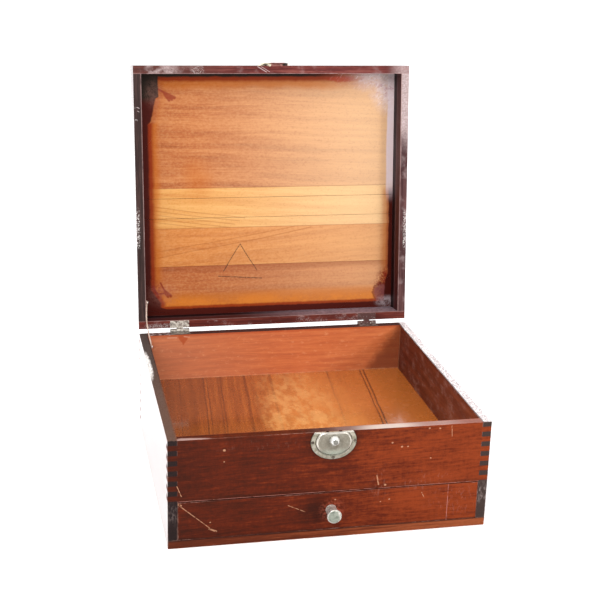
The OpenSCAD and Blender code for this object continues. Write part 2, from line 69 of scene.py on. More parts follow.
# ---------------------------------------------------------------- measures, in millimetres
HALF_W, HALF_D = 160.0, 150.0
RIM = 113.5              # top of the case's walls
IN_X, IN_Y = 150.6, 140.6
FLOOR_TOP = 58.5
LID_RIM = 113.7          # the lid's rim when it is closed
LID_PANEL = 143.7        # the lid boards' inner face when it is closed
LID_IN_X, LID_IN_Y = 151.0, 141.0
BOARD_EDGES = (0.0, 141.0, 188.0, 233.0, 300.0)   # back from the front, on the closed lid
SKIN = 0.4               # how far a face's colour reaches into the wood
SHARP_ANGLE = 40         # edges sharper than this, in degrees, are kept as edges

hinge = next(j for j in frame["joints"] if j["name"] == "lid_hinge")
PIN = Vector(hinge["pos_m"])
OPEN = math.radians(hinge["range_deg"][1])

# ---------------------------------------------------------------- camera
camera = bpy.data.objects.new("camera", bpy.data.cameras.new("camera"))
scene.collection.objects.link(camera)
scene.camera = camera
camera.data.lens = 75.1
camera.data.sensor_width = 36
camera.matrix_world = (
    Matrix.Translation((-0.2732, -1.2176, 0.6053))
    @ Matrix.Rotation(math.radians(-12.46), 4, "Z")
    @ Matrix.Rotation(math.radians(90 - 18.13), 4, "X")
    @ Matrix.Rotation(math.radians(1.72), 4, "Z")
)


# ---------------------------------------------------------------- shader graphs
def linear(r, g, b):
    """A shader colour from a screen colour of 0 to 255."""
    out = [((c / 255 + 0.055) / 1.055) ** 2.4 if c > 10 else c / 255 / 12.92 for c in (r, g, b)]
    return (*out, 1.0)


class Out:
    """A node's output. Arithmetic on it makes Math nodes."""

    def __init__(self, graph, socket):
        self.graph, self.socket = graph, socket

    def __add__(self, other):
        return self.graph.math("ADD", self, other)

    def __sub__(self, other):
        return self.graph.math("SUBTRACT", self, other)

    def __rsub__(self, other):
        return self.graph.math("SUBTRACT", other, self)

    def __mul__(self, other):
        return self.graph.math("MULTIPLY", self, other)

    def __truediv__(self, other):
        return self.graph.math("DIVIDE", self, other)

    def __abs__(self):
        return self.graph.math("ABSOLUTE", self)

    __radd__ = __add__
    __rmul__ = __mul__


class Graph:
    """A material with one Principled shader, and short calls that make its nodes."""

    def __init__(self, name, **constants):
        self.material = bpy.data.materials.new(name)
        self.material.use_nodes = True
        self.tree = self.material.node_tree
        self.shader = self.tree.nodes["Principled BSDF"]
        for socket, value in constants.items():
            self.shader.inputs[socket.replace("_", " ")].default_value = value

    def node(self, kind, *values, **settings):
        made = self.tree.nodes.new("ShaderNode" + kind)
        for key, value in settings.items():
            setattr(made, key, value)
        for socket, value in zip(made.inputs, values):
            self.feed(socket, value)
        return made

    def feed(self, socket, value):
        if isinstance(value, Out):
            self.tree.links.new(value.socket, socket)
        elif value is not None:
            socket.default_value = value

    def math(self, operation, *values):
        made = self.node("Math", *values, operation=operation)
        return Out(self, made.outputs[0])

    def least(self, a, b):
        return self.math("MINIMUM", a, b)

    def most(self, a, b):
        return self.math("MAXIMUM", a, b)

    def step(self, value, start, end, low=0.0, high=1.0):
        """A smooth step from low, at start, to high, at end."""
        made = self.node("MapRange", interpolation_type="SMOOTHSTEP")
        for name, v in (("Value", value), ("From Min", start), ("From Max", end),
                        ("To Min", low), ("To Max", high)):
            self.feed(made.inputs[name], v)
        return Out(self, made.outputs[0])

    def vec(self, x, y, z=0.0):
        return Out(self, self.node("CombineXYZ", x, y, z).outputs[0])

    def noise(self, x, y, z=0.0, detail=2.0, rough=0.5):
        made = self.node("TexNoise")
        self.feed(made.inputs["Vector"], self.vec(x, y, z))
        made.inputs["Scale"].default_value = 1.0
        made.inputs["Detail"].default_value = detail
        made.inputs["Roughness"].default_value = rough
        return Out(self, made.outputs[0])

    def mix(self, factor, a, b):
        made = self.tree.nodes.new("ShaderNodeMix")
        made.data_type = "RGBA"
        for socket, value in ((made.inputs[0], factor), (made.inputs[6], a), (made.inputs[7], b)):
            self.feed(socket, value)
        return Out(self, made.outputs[2])

    def ramp(self, factor, *stops):
        """A colour ramp of (position, colour) stops."""
        made = self.tree.nodes.new("ShaderNodeValToRGB")
        self.feed(made.inputs[0], factor)
        elements = made.color_ramp.elements
        while len(elements) < len(stops):
            elements.new(0.5)
        for element, (position, colour) in zip(elements, stops):
            element.position = position
            element.color = colour
        return Out(self, made.outputs[0])

    def place(self, closed_lid=False):
        """Object coordinates in millimetres; a lid piece's are those of the closed lid."""
        where = self.node("TexCoord").outputs["Object"]
        turn = self.node("Mapping")
        self.tree.links.new(where, turn.inputs["Vector"])
        turn.inputs["Scale"].default_value = (1 / MM,) * 3
        if closed_lid:
            back = Matrix.Rotation(OPEN, 3, "X")
            turn.inputs["Rotation"].default_value = (OPEN, 0, 0)
            turn.inputs["Location"].default_value = (PIN - back @ PIN) / MM
        parts = self.node("SeparateXYZ")
        self.tree.links.new(turn.outputs[0], parts.inputs[0])
        return [Out(self, s) for s in parts.outputs]

    def line(self, x, y, start, end, width):
        """1 on the straight mark from start to end, fading over its width."""
        dx, dy = end[0] - start[0], end[1] - start[1]
        px, py = x - start[0], y - start[1]
        t = (px * dx + py * dy) / (dx * dx + dy * dy)
        t = self.least(self.most(t, 0.0), 1.0)
        ex, ey = px - t * dx, py - t * dy
        away = self.math("SQRT", ex * ex + ey * ey)
        return self.step(away, width, width * 0.35)

    def spot(self, x, y, centre, radii, soft=0.3):
        """1 inside the oval about centre, fading outwards over soft of its radius."""
        ex, ey = (x - centre[0]) / radii[0], (y - centre[1]) / radii[1]
        away = self.math("SQRT", ex * ex + ey * ey)
        return self.step(away, 1.0 + soft, 1.0 - soft)

    def edge_distance(self, place, low, high):
        """The distance from a point on a box to its nearest edge."""
        a, b, c = (self.least(p - lo, hi - p) for p, lo, hi in zip(place, low, high))
        return self.most(self.least(a, b), self.least(self.most(a, b), c))

    def finish(self, colour, roughness=None, height=None, bump=0.3, metallic=None):
        self.feed(self.shader.inputs["Base Color"], colour)
        self.feed(self.shader.inputs["Roughness"], roughness)
        self.feed(self.shader.inputs["Metallic"], metallic)
        if height is not None:
            made = self.node("Bump")
            self.feed(made.inputs["Height"], height)
            made.inputs["Strength"].default_value = bump
            made.inputs["Distance"].default_value = 0.2 * MM
            self.tree.links.new(made.outputs[0], self.shader.inputs["Normal"])
        return self.material


class Wood:
    """The grain of one board: where the bands, fibres and pores are."""

    def __init__(self, g, along, across, depth, seed, wave=12.0, rise=0.0, band=7.0, length=330.0,
                 fibre=(60.0, 1.1), share=0.38):
        s = seed * 7.31
        self.g = g
        self.sway = g.noise(along / 150 + s, across / 45, depth / 45) - 0.5
        ripple = g.noise(along / 38 + s, across / 16, depth / 16) - 0.5
        self.bent = across + self.sway * wave + ripple * (wave * 0.18) + along * rise
        self.band = g.noise(along / length + s, self.bent / band, depth / band, 3, 0.6)
        long, thin = fibre
        self.fibre = g.noise(along / long + s, self.bent / thin, depth / thin, 3, 0.7)
        self.pore = g.step(g.noise(along / 6 + s, self.bent / 0.42, depth / 0.42, 1), 0.58, 0.68)
        self.blotch = g.noise(along / 55 + s, across / 28, depth / 28, 2)
        self.tone = self.band * (1 - share) + self.fibre * share

    def colour(self, dark, middle, light, spread=0.16, shift=0.0, pores=0.38):
        """The wood's own colour; shift moves it towards light."""
        level = self.g.step(self.tone + shift, 0.5 - spread, 0.5 + spread)
        base = self.g.ramp(level, (0.0, dark), (0.5, middle), (1.0, light))
        return self.g.mix(self.pore * pores, base, dark)


def material_on(obj, material):
    obj.data.materials.clear()
    obj.data.materials.append(material)


def bevelled(obj, width):
    """Rounds an object's sharp edges by a small width in millimetres."""
    weld = obj.modifiers.new("weld", "WELD")
    weld.merge_threshold = 0.00001
    bevel = obj.modifiers.new("bevel", "BEVEL")
    bevel.width = width * MM
    bevel.segments = 2
    bevel.limit_method = "ANGLE"
    bevel.angle_limit = math.radians(SHARP_ANGLE)
    obj.modifiers.new("normals", "WEIGHTED_NORMAL")


def limits(name):
    low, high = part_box(name)
    return [v / MM for v in low], [v / MM for v in high]


def worn_edges(g, place, low, high, reach, seed):
    """1 where a board's edges are rubbed bare."""
    x, y, z = place
    ragged = g.noise(x / 9 + seed, y / 9, z / 9, 4, 0.75)
    patchy = g.noise(x / 45 + seed, y / 45, z / 45, 2)
    room = (ragged - 0.4) * reach * g.step(patchy, 0.35, 0.7, 0.1, 1.6)
    return g.step(g.edge_distance(place, low, high) - room, 0.2, -0.2)


def greatest(g, values):
    out = values[0]
    for value in values[1:]:
        out = g.most(out, value)
    return out


def outer_gloss(g, *faces):
    """Full gloss on the outside faces only."""
    g.feed(g.shader.inputs["Coat Weight"], greatest(g, faces))


# ---------------------------------------------------------------- case
def front_material(name, seed):
    """Red-brown front boards: nearly black at the left, lighter and more orange at the right."""
    g = Graph(name, Specular_IOR_Level=0.04)
    place = g.place()
    x, y, z = place
    u, d = x + HALF_W, RIM - z
    wood = Wood(g, x, z, y, seed, wave=7, rise=-0.03, band=3.2, length=48,
                fibre=(15, 1.3), share=0.45)
    cloud = g.noise(x / 30 + seed, z / 17, 4.7, 3, 0.6) - 0.5
    across = g.step(u, 60, 330, -0.1, 0.22)
    glow = greatest(g, [g.spot(u, d, (236, 76), (22, 10), 0.9) * 0.16,
                        g.spot(u, d, (226, 26), (30, 10), 0.9) * 0.1,
                        g.spot(u, d, (262, 56), (20, 8), 0.9) * 0.1])
    mottle = g.noise(x / 5, z / 4, seed + 5, 4, 0.7) - 0.5
    ripple = g.noise(x / 2.6, z / 24, seed + 6, 3, 0.6) - 0.5
    colour = wood.colour(linear(49, 20, 11), linear(78, 27, 12), linear(118, 48, 20),
                         0.4, across + cloud * 0.3 + mottle * 0.4 + ripple * 0.14 + glow, 0.2)
    # old polish gone dark at the left end and round the catch plate, dark lines along the two
    # seams, and a painted shadow of the knob at its left
    smear = cloud * 14
    darkening = greatest(g, [g.spot(u + smear, d, (0, 120), (52, 34), 0.7) * 0.6,
                         g.spot(u + smear, d, (12, 20), (24, 40), 0.8) * 0.5,
                         g.spot(u, d, (160, 9), (27, 23), 0.2) * 0.7,
                         # painted shadow of the knob, cast to its left
                         g.spot(u, d, (146, 84), (13, 12), 0.7) * 0.9,
                         g.step(abs(d - 104.6), 1.6, 0.5) * 0.75,
                         g.step(abs(d - 62.5), 3.5, 0.5) * 0.4])
    colour = g.mix(darkening * 0.7, colour, linear(28, 15, 11))
    ring = g.spot(u, d, (161, 84), (11, 11), 0.5) * g.step(g.noise(x / 2, z / 2, seed, 3), 0.4, 0.6)
    colour = g.mix(ring * 0.4, colour, linear(150, 74, 56))
    # scratches, chips and scuffs
    wobble = (g.noise(x / 4, z / 4, seed, 2) - 0.5) * 1.2
    ux, dx = u + wobble, d + wobble
    marks = [g.line(ux, dx, a, b, width) for a, b, width in (
        ((9, 66), (45, 98), 0.55), ((8, 45), (13, 58), 0.5), ((117, 76), (134, 84), 0.5),
        ((8, 65), (13, 68), 1.1), ((40, 95), (47, 98), 1.1), ((279, 2), (279.5, 13), 0.5),
        ((205, 50), (207, 60), 0.8), ((252, 72), (255, 78), 0.5))]
    marks = greatest(g, marks) * g.step(g.noise(x / 3, z / 3, 2.2, 3, 0.7), 0.3, 0.55)
    dots = [g.spot(ux, dx, centre, (size, size * 0.8), 0.4) for centre, size in (
        ((54, 13), 1.3), ((54, 25), 0.7), ((214, 61), 1.2), ((219, 16), 1.0), ((229, 21), 1.1),
        ((235, 21), 0.9), ((256, 3), 1.0), ((267, 4), 0.9), ((259, 35), 0.7), ((44, 64), 0.7),
        ((41, 88), 0.8), ((210, 79), 0.7), ((219, 77), 0.9), ((164, 73), 0.8))]
    flecks = (g.step(g.noise(x / 1.5, z / 1.1, seed + 3, 2, 0.6), 0.7, 0.76)
              * g.step(g.noise(x / 34, z / 22, seed), 0.46, 0.62) * g.step(u, 90, 200, 0.2, 0.8))
    marks = g.most(g.most(marks, greatest(g, dots)), flecks * 0.2)
    colour = g.mix(marks * 0.7, colour, linear(176, 128, 98))
    scuff = g.step(g.noise(x / 3, z / 7, seed + 8, 4, 0.75), 0.54, 0.68) * greatest(g, [
        g.spot(u, d, (208, 58), (8, 16), 0.8), g.spot(u, d, (286, 84), (22, 16), 0.8),
        g.spot(u, d, (255, 60), (24, 9), 0.8), g.spot(u, d, (90, 10), (40, 5), 0.8) * 0.6])
    colour = g.mix(scuff * 0.2, colour, linear(160, 116, 102))
    # a pale line along the drawer's top edge and down its right end: a painted highlight on the
    # arris, also cut in as a fine groove
    thin = greatest(g, [g.step(abs(u - 279.5), 0.5, 0.2) * g.step(d, 64, 66),
                        g.step(abs(d - 64.0), 0.6, 0.2)])
    colour = g.mix(thin * g.step(g.noise(x / 7, z / 7, 1.3, 2), 0.3, 0.55) * 0.65, colour,
                   linear(160, 104, 94))
    low, high = limits(name)
    worn = worn_edges(g, place, low, high, 1.8, seed)
    colour = g.mix(worn * 0.5, colour, g.mix(g.noise(x / 5, y / 5, z / 5), linear(110, 60, 46),
                                             linear(190, 150, 136)))
    # painted highlights on the rim, where it catches the light towards the right and brightest a
    # little right of the middle; a pale chip at the left
    rim = g.step(z, RIM - 0.4, RIM - 0.1)
    bright = g.step(u + cloud * 40, 130, 200) * g.step(u, 300, 270, 0.4, 1.0)
    chip = g.spot(u, y + cloud * 10, (24, -HALF_D + 1), (16, 4), 0.3)
    white = g.spot(u, y, (215, -HALF_D + 3), (26, 9), 0.6)
    colour = g.mix(rim * g.most(bright * 0.45, chip * 0.6), colour, linear(176, 146, 138))
    colour = g.mix(rim * white * 0.5, colour, linear(206, 196, 184))
    # inner face, thinly varnished
    inside = g.step(y, -IN_Y - 0.6, -IN_Y - 0.2)
    colour = g.mix(inside, colour, wood.colour(linear(96, 42, 24), linear(132, 64, 38),
                                               linear(166, 92, 56)))
    roughness = g.step(wood.blotch, 0.3, 0.7, 0.38, 0.52) + marks * 0.3
    height = wood.fibre * 0.4 - wood.pore * 0.3 - marks * 1.5 - thin * 1.5
    return g.finish(colour, roughness, height, 0.3)


for index, name in enumerate(("front_panel", "drawer_front")):
    material_on(nodes[name], front_material(name, 1.0 + index * 2.6))
    bevelled(nodes[name], 0.3)


def side_material(name, side, seed):
    """A side wall: high gloss outside, thin varnish inside, near-black end grain at the joints."""
    g = Graph(name, Specular_IOR_Level=0.1, Coat_Roughness=0.1, Coat_IOR=1.8)
    place = g.place()
    x, y, z = place
    wood = Wood(g, y, z, x, seed, wave=12, rise=0.02, band=7)
    colour = wood.colour(linear(44, 18, 13), linear(82, 32, 22), linear(122, 54, 34), 0.22)
    inner = wood.colour(linear(58, 22, 13), linear(88, 38, 25), linear(118, 58, 38), 0.3)
    haze = g.step(g.noise(y / 16, z / 9, seed, 5, 0.75), 0.48, 0.72)
    inner = g.mix(haze * 0.55, inner, linear(140, 106, 98))
    corner = g.step(abs(y - IN_Y + 2), 2.0, 0.4)
    inner = g.mix(corner * 0.6, inner, linear(170, 112, 78))
    inside = g.step(abs(x), IN_X + 0.6, IN_X + 0.2)
    colour = g.mix(inside, colour, inner)
    rim = g.step(z, RIM - 0.4, RIM - 0.1)
    speckle = g.step(g.noise(x / 1.4, y / 2.2, seed, 3, 0.7), 0.42, 0.6)
    inner_side = g.step(abs(x), IN_X + 1.6, IN_X + 0.9)
    if side > 0:
        # the right rim's top is painted pale grey-white with speckles: a painted reflection of the
        # white room
        top = g.mix(speckle, linear(216, 208, 208), linear(150, 138, 138))
        top = g.mix(inner_side * 0.85, top, linear(40, 20, 18))
    else:
        # the left rim's top is painted dark grey-brown, darker towards the back: a painted
        # reflection of the dark lid over the wood
        nearer = g.step(y, 60, -60)
        top = g.mix(inner_side, g.mix(nearer, linear(52, 44, 42), linear(72, 52, 44)),
                    g.mix(nearer, linear(38, 14, 9), linear(84, 46, 30)))
        top = g.mix(speckle * 0.25, top, linear(120, 100, 90))
        ragged = (g.noise(x / 3, y / 5, seed, 3) - 0.5) * 4
        bare = g.spot(x + ragged, y, (-HALF_W + 1, 46), (3.2, 38), 0.3)
        top = g.mix(bare * g.step(speckle, 0.0, 0.5, 0.5, 1.0) * 0.9, top, linear(226, 222, 218))
    colour = g.mix(rim, colour, top)
    end = g.step(abs(y), HALF_D - 0.5, HALF_D - 0.2)
    grain = g.noise(x / 0.5, z / 1.4, seed, 2, 0.7)
    ends = g.ramp(grain, (0.3, linear(12, 7, 7)), (0.6, linear(30, 16, 14)),
                  (0.8, linear(52, 34, 31)))
    if side > 0:
        ends = g.mix(0.1, ends, linear(130, 106, 96))
    colour = g.mix(end, colour, ends)
    # grey rubbing low on the end grain
    rub = g.step(abs(z - 37), 16, 2) * g.step(g.noise(x / 2, z / 5, seed, 3, 0.7), 0.46, 0.62) * end
    colour = g.mix(rub * (0.5 if side > 0 else 0.2), colour, linear(132, 116, 112))
    low, high = limits(name)
    worn = worn_edges(g, place, low, high, 1.6, seed)
    colour = g.mix(worn * 0.4, colour, linear(150, 112, 100))
    outer_gloss(g, g.step(abs(x), HALF_W - 0.3, HALF_W - 0.1))
    roughness = g.step(wood.blotch, 0.3, 0.7, 0.3, 0.45)
    return g.finish(colour, roughness, wood.fibre * 0.4 - wood.pore * 0.4, 0.2)


for name, side, seed in (("left_side", -1, 3.1), ("right_side", 1, 5.7)):
    material_on(nodes[name], side_material(name, side, seed))
    bevelled(nodes[name], 0.3)


def back_material(name, seed):
    g = Graph(name, Specular_IOR_Level=0.35)
    place = g.place()
    x, y, z = place
    u, d = x + HALF_W, RIM - z
    wood = Wood(g, x, z, y, seed, wave=8, rise=-0.01, band=4, length=90, fibre=(20, 1.4), share=0.5)
    outer = wood.colour(linear(50, 20, 13), linear(90, 36, 22), linear(132, 60, 36), 0.2)
    tint = g.step(u, 0, 320, -0.05, 0.08)
    inner = wood.colour(linear(142, 64, 34), linear(178, 90, 48), linear(206, 120, 66),
                        0.45, tint, 0.2)
    flake = g.step(g.noise(x / 7, z / 4, seed + 2, 4, 0.75), 0.56, 0.7)
    inner = g.mix(flake * 0.4, inner, linear(212, 146, 100))
    ragged = g.noise(x / 6, z / 6, 0.5, 3) - 0.5
    slope = g.step(d + abs(u - 50) * 1.5 + ragged * 7, 14, 11)
    stain = greatest(g, [slope * 0.7, g.step(d + ragged * 3, 4.0, 1.0) * 0.6,
                         g.step(u, 15, 10) * 0.4])
    inner = g.mix(g.step(u, 0, 190, 0.22, 0.03), inner, linear(204, 150, 118))
    inner = g.mix(stain, inner, linear(158, 60, 20))
    rubs = g.most(g.line(u, d + ragged * 2, (32, 3.5), (42, 3.8), 1.1),
                  g.line(u, d + ragged * 2, (51, 3.0), (57, 3.6), 0.9))
    inner = g.mix(rubs * 0.6, inner, linear(206, 150, 120))
    # painted shadow of the right wall, falling across the right corner
    corner = g.step(u + d * 0.7 + ragged * 12, 300, 318)
    inner = g.mix(corner * 0.72, inner, linear(98, 42, 22))
    foot = g.step(d, 53.6, 54.6) * g.step(g.noise(x / 9, 3.0, 0.0, 3, 0.7), 0.35, 0.6)
    inner = g.mix(foot * 0.5, inner, linear(200, 140, 104))
    inside = g.step(y, IN_Y + 0.6, IN_Y + 0.2)
    colour = g.mix(inside, outer, inner)
    low, high = limits(name)
    worn = worn_edges(g, place, low, high, 1.4, seed)
    colour = g.mix(worn * 0.4, colour, linear(150, 104, 88))
    rim = g.step(z, RIM - 0.5, RIM - 0.1)
    dash = g.step(g.noise(x / 5, y / 1.6, seed, 3, 0.7), 0.5, 0.62) * g.step(abs(u - 24), 18, 8)
    colour = g.mix(rim, colour, g.mix(dash * 0.8, linear(62, 34, 30), linear(196, 172, 166)))
    return g.finish(colour, g.step(wood.blotch, 0.3, 0.7, 0.4, 0.55),
                    wood.fibre * 0.4 - wood.pore * 0.3, 0.3)


material_on(nodes["back_panel"], back_material("back_panel", 8.2))
bevelled(nodes["back_panel"], 0.3)


def base_material(name, seed):
    g = Graph(name, Specular_IOR_Level=0.04, Coat_Roughness=0.1, Coat_IOR=1.8)
    place = g.place()
    x, y, z = place
    wood = Wood(g, x, y, z * 1.5, seed, wave=8, band=3.4, length=60, fibre=(20, 1.2), share=0.45)
    across = g.step(x, -120, 170, -0.06, 0.26)
    colour = wood.colour(linear(54, 24, 15), linear(86, 37, 20), linear(128, 66, 38), 0.34, across)
    seam = g.step(z, 7.2, 8.2)
    colour = g.mix(seam * 0.75, colour, linear(36, 18, 14))
    under = g.step(z, 0.5, 0.1)
    colour = g.mix(under * 0.6, colour, linear(110, 78, 56))
    low, high = limits(name)
    worn = worn_edges(g, place, low, high, 1.6, seed) * g.step(z, 5, 3)
    colour = g.mix(worn * 0.6, colour, linear(168, 118, 96))
    outer_gloss(g, g.step(abs(x), HALF_W - 0.3, HALF_W - 0.1))
    return g.finish(colour, g.step(wood.blotch, 0.3, 0.7, 0.4, 0.55),
                    wood.fibre * 0.4 - wood.pore * 0.4, 0.3)


material_on(nodes["bottom_board"], base_material("bottom_board", 4.4))
bevelled(nodes["bottom_board"], 0.5)


def floor_material(name, seed):
    """The compartment's glossy floor, streaked from front to back."""
    g = Graph(name, Coat_Weight=0.9, Coat_Roughness=0.1)
    x, y, z = g.place()
    lean = x - (y + 18) * 0.09 + (g.noise(x / 30, y / 40, seed) - 0.5) * 2.5
    wood = Wood(g, y, lean, z, seed, wave=5, band=8, length=200, fibre=(30, 1.2))
    # lighter towards the right: partly the wood's own tone, partly painted light on the floor's
    # right
    across = g.step(x, -120, 150, -0.05, 0.32)
    colour = wood.colour(linear(100, 47, 19), linear(135, 67, 26), linear(174, 98, 40), 0.34,
                         across, 0.2)
    thin = g.noise(lean / 0.9, y / 40, seed, 3, 0.7)
    streaks = greatest(g, [g.step(abs(lean - at), width, width * 0.2) * strength
                           for at, width, strength in (
                               (-129.7, 1.2, 0.5), (-101.4, 1.4, 0.8), (-97.2, 0.9, 0.8),
                               (-84.6, 0.9, 0.6), (-81.4, 1.2, 0.7), (-53, 2.6, 0.6),
                               (-22.3, 2.6, 0.7), (47.8, 1.6, 0.5), (88.4, 1.3, 0.9),
                               (92.6, 1.6, 0.9))])
    streaks = streaks * g.step(thin, 0.3, 0.6, 0.5, 1.0)
    colour = g.mix(streaks, colour, linear(62, 24, 14))
    # a paler patch in the middle with a brighter glow over it: a painted reflection on the glossy
    # floor
    ragged = g.noise(x / 16, y / 26, seed, 4, 0.7) - 0.5
    patch = g.spot(x + ragged * 40, y + ragged * 70, (20, 0), (48, 140), 0.45)
    colour = g.mix(patch * 0.5, colour, linear(200, 128, 64))
    painted_reflection = g.step(g.noise(x / 9, y / 17, seed + 2, 4, 0.65), 0.4, 0.62) * g.spot(
        x + ragged * 30, y + ragged * 40, (6, 10), (38, 130), 0.4)
    colour = g.mix(painted_reflection * 0.5, colour, linear(214, 160, 98))
    rub = g.step(g.noise(x / 12, y / 12, seed + 4, 5, 0.75), 0.5, 0.7)
    roughness = g.step(rub, 0.0, 1.0, 0.24, 0.42)
    return g.finish(colour, roughness, wood.fibre * 0.3 - wood.pore * 0.2 - streaks * 0.5, 0.2)


material_on(nodes["compartment_floor"], floor_material("compartment_floor", 6.6))
bevelled(nodes["compartment_floor"], 0.3)


def bare_material(name, axis, seed):
    """The drawer's plain, unfinished wood, darkened by handling at its edges."""
    g = Graph(name, Specular_IOR_Level=0.25)
    place = g.place()
    x, y, z = place
    along, across, depth = (x, y, z) if axis == "x" else (y, z, x)
    wood = Wood(g, along, across, depth, seed, wave=8, band=6)
    colour = wood.colour(linear(126, 84, 50), linear(160, 116, 74), linear(184, 144, 100), 0.24)
    low, high = limits(name)
    worn = worn_edges(g, place, low, high, 6.0, seed)
    colour = g.mix(worn * 0.5, colour, linear(100, 64, 40))
    return g.finish(colour, g.step(wood.blotch, 0.3, 0.7, 0.55, 0.75),
                    wood.fibre * 0.6 - wood.pore * 0.6, 0.35)


for name, axis, seed in (("drawer_left_side", "y", 2.2), ("drawer_right_side", "y", 2.9),
                         ("drawer_back", "x", 3.6), ("drawer_bottom", "x", 7.9)):
    material_on(nodes[name], bare_material(name, axis, seed))
    bevelled(nodes[name], 0.3)


# ---------------------------------------------------------------- lid
def varnish(g, colour, u, v, seed):
    """Thick old varnish round the edge of the lid's inside: amber, then red, then nearly black."""
    brush = g.noise(u / 9, v / 9, seed, 3, 0.6) - 0.5
    slow = g.noise(u / 38, v / 38, seed + 1, 2) - 0.5
    fine = g.noise(u / 3, v / 3, seed + 4, 4, 0.7) - 0.5
    du, dv = u + brush * 2.6, v + brush * 2.6
    upper = g.step(v, 68, 62)
    lower = g.step(v, 138, 152)
    # the dark band's inner edge on the left: wide at the top, spreading again at the bottom
    left = 18.0 + upper * 4 + g.least(g.most(62 - v, 0.0), 24.0) * 0.23 + g.step(v, 38, 35) * 3.5
    left = left + g.least(g.most((v - 260) * 0.7, 0.0), 11.0) + g.step(v, 281, 285, 0, 10)
    right = 306.5 - g.step(v, 244, 262) * 3
    dark = greatest(g, [
        g.step(du - left, g.step(v, 60, 75, 0.8, 2.0), -1.5),
        g.step(dv, 14.0, 11.5),
        g.step(dv, 282.5, 284.5),
        g.step(du + slow * 4, right - 1.5, right + 0.5) * lower])
    red = greatest(g, [
        g.step(du - left, 8.0, 2.5) * g.step(upper, 0, 1, 1.0, 0.35),
        g.step(dv, 20.0, 15.5) * g.step(u, 290, 230),
        g.step(dv, 279.0, 281.5),
        g.step(du + slow * 4, right - 4.5, right - 1.5) * lower * 0.6,
        g.step(du + fine * 14, 299, 303) * g.step(v, 240, 250) * 0.9])
    amber = greatest(g, [
        g.step(du - left + slow * 8, 16.0, 6.0) * g.step(upper, 0, 1, 0.9, 0.25),
        g.step(dv + slow * 8, 30.0, 21.0) * g.step(u, 300, 200, 0.2, 0.85),
        g.step(dv + slow * 12, 262.0, 279.0) * 0.7,
        g.step(du + slow * 6, right - 12, right - 4) * lower * 0.75,
        g.spot(u + slow * 24, v, (74, 132), (14, 20), 0.9) * 0.5])
    tinted = g.mix(amber * 0.8, colour, linear(166, 86, 22))
    gold = g.step(dv + slow * 8, 267, 277) * g.step(fine + slow, -0.25, 0.15)
    tinted = g.mix(gold * 0.35, tinted, linear(214, 128, 44))
    tinted = g.mix(red * 0.85, tinted, linear(120, 30, 9))
    # brush strokes that run out of the left corners
    stroke = greatest(g, [g.line(du, dv, start, end, width) for start, end, width in (
        ((29, 26), (40, 32), 1.7), ((38, 31), (49, 36.5), 2.8), ((38, 32), (46, 38), 2.8),
        ((38, 33), (43, 39.5), 2.2))])
    tinted = g.mix(stroke * 0.8, tinted, linear(124, 46, 30))
    claw = greatest(g, [g.line(du, dv, start, end, width) for start, end, width in (
        ((29, 252), (34, 262), 1.4), ((34, 262), (41, 268), 2.8), ((20, 256), (25, 265), 1.8),
        ((25, 265), (34, 264), 1.6), ((34, 264), (38, 269), 2.0))])
    tinted = g.mix(claw * 0.8, tinted, linear(112, 26, 14))
    crackle = g.step(g.noise(u / 2.2, v / 2.2, seed + 9, 4, 0.75), 0.42, 0.54) * greatest(g, [
        g.spot(u, v, (303, 268), (12, 24), 0.4), g.spot(u, v, (24, 262), (8, 12), 0.5) * 0.7])
    tinted = g.mix(crackle * 0.8, tinted, linear(112, 26, 18))
    patch = g.spot(u + brush * 14, v + brush * 5, (247, 15.5), (16, 3.4), 0.45)
    tinted = g.mix(patch * 0.75, tinted, linear(158, 52, 26))
    shape_u, shape_v = u + brush * 10 + fine * 5, v + brush * 10 + fine * 5
    blot = g.spot(shape_u, shape_v, (298, 272), (9, 10), 0.16)
    outline = g.most(g.spot(shape_u, shape_v, (298, 272), (10.5, 12), 0.1) - blot, 0.0)
    tinted = g.mix(blot * 0.8, tinted, linear(112, 62, 64))
    tinted = g.mix(outline * 0.8, tinted, linear(88, 24, 20))
    black = g.mix(g.step(v, 34, 44), linear(38, 30, 24), linear(64, 18, 12))
    lighter = g.step(g.step(u, 190, 262) * g.step(v, 60, 40), 0, 1, 1.0, 0.2)
    tinted = g.mix(dark * lighter, tinted, black)
    # milky haze over the varnish in the corners
    milk = g.noise(u / 4, v / 4, seed + 2, 5, 0.75)
    streak = g.step(g.noise((u + v) / 1.6, (u - v) / 9, seed + 6, 3, 0.7), 0.56, 0.64)
    right_corner = g.most(g.spot(u + brush * 24, v + brush * 12, (306, 13), (48, 13), 0.8),
                          g.spot(u + brush * 18, v + brush * 18, (306, 24), (18, 24), 0.7))
    haze = greatest(g, [
        right_corner * g.step(milk, 0.25, 0.6, 0.25, 0.85),
        g.step(u + slow * 3, 301.5, 304) * g.step(v, 165, 135) * g.step(milk, 0.2, 0.5, 0.6, 0.9),
        g.spot(u, v, (24, 32), (8, 14), 0.6) * g.step(milk, 0.3, 0.6) * 0.22,
        g.spot(u, v, (30, 266), (16, 12), 0.6) * g.step(milk, 0.3, 0.6) * 0.2,
        g.spot(u, v, (306, 284), (12, 6), 0.6) * g.step(milk, 0.3, 0.6) * 0.5])
    tinted = g.mix(haze, tinted, g.mix(g.step(u, 250, 280), linear(160, 112, 100),
                                       linear(198, 182, 186)))
    tinted = g.mix(right_corner * streak * 0.6, tinted, linear(226, 222, 222))
    bruise = right_corner * g.step(g.noise(u / 5, v / 5, seed + 8, 3, 0.7), 0.55, 0.66)
    tinted = g.mix(bruise * 0.5, tinted, linear(150, 92, 104))
    return tinted, g.most(dark, red * 0.7)


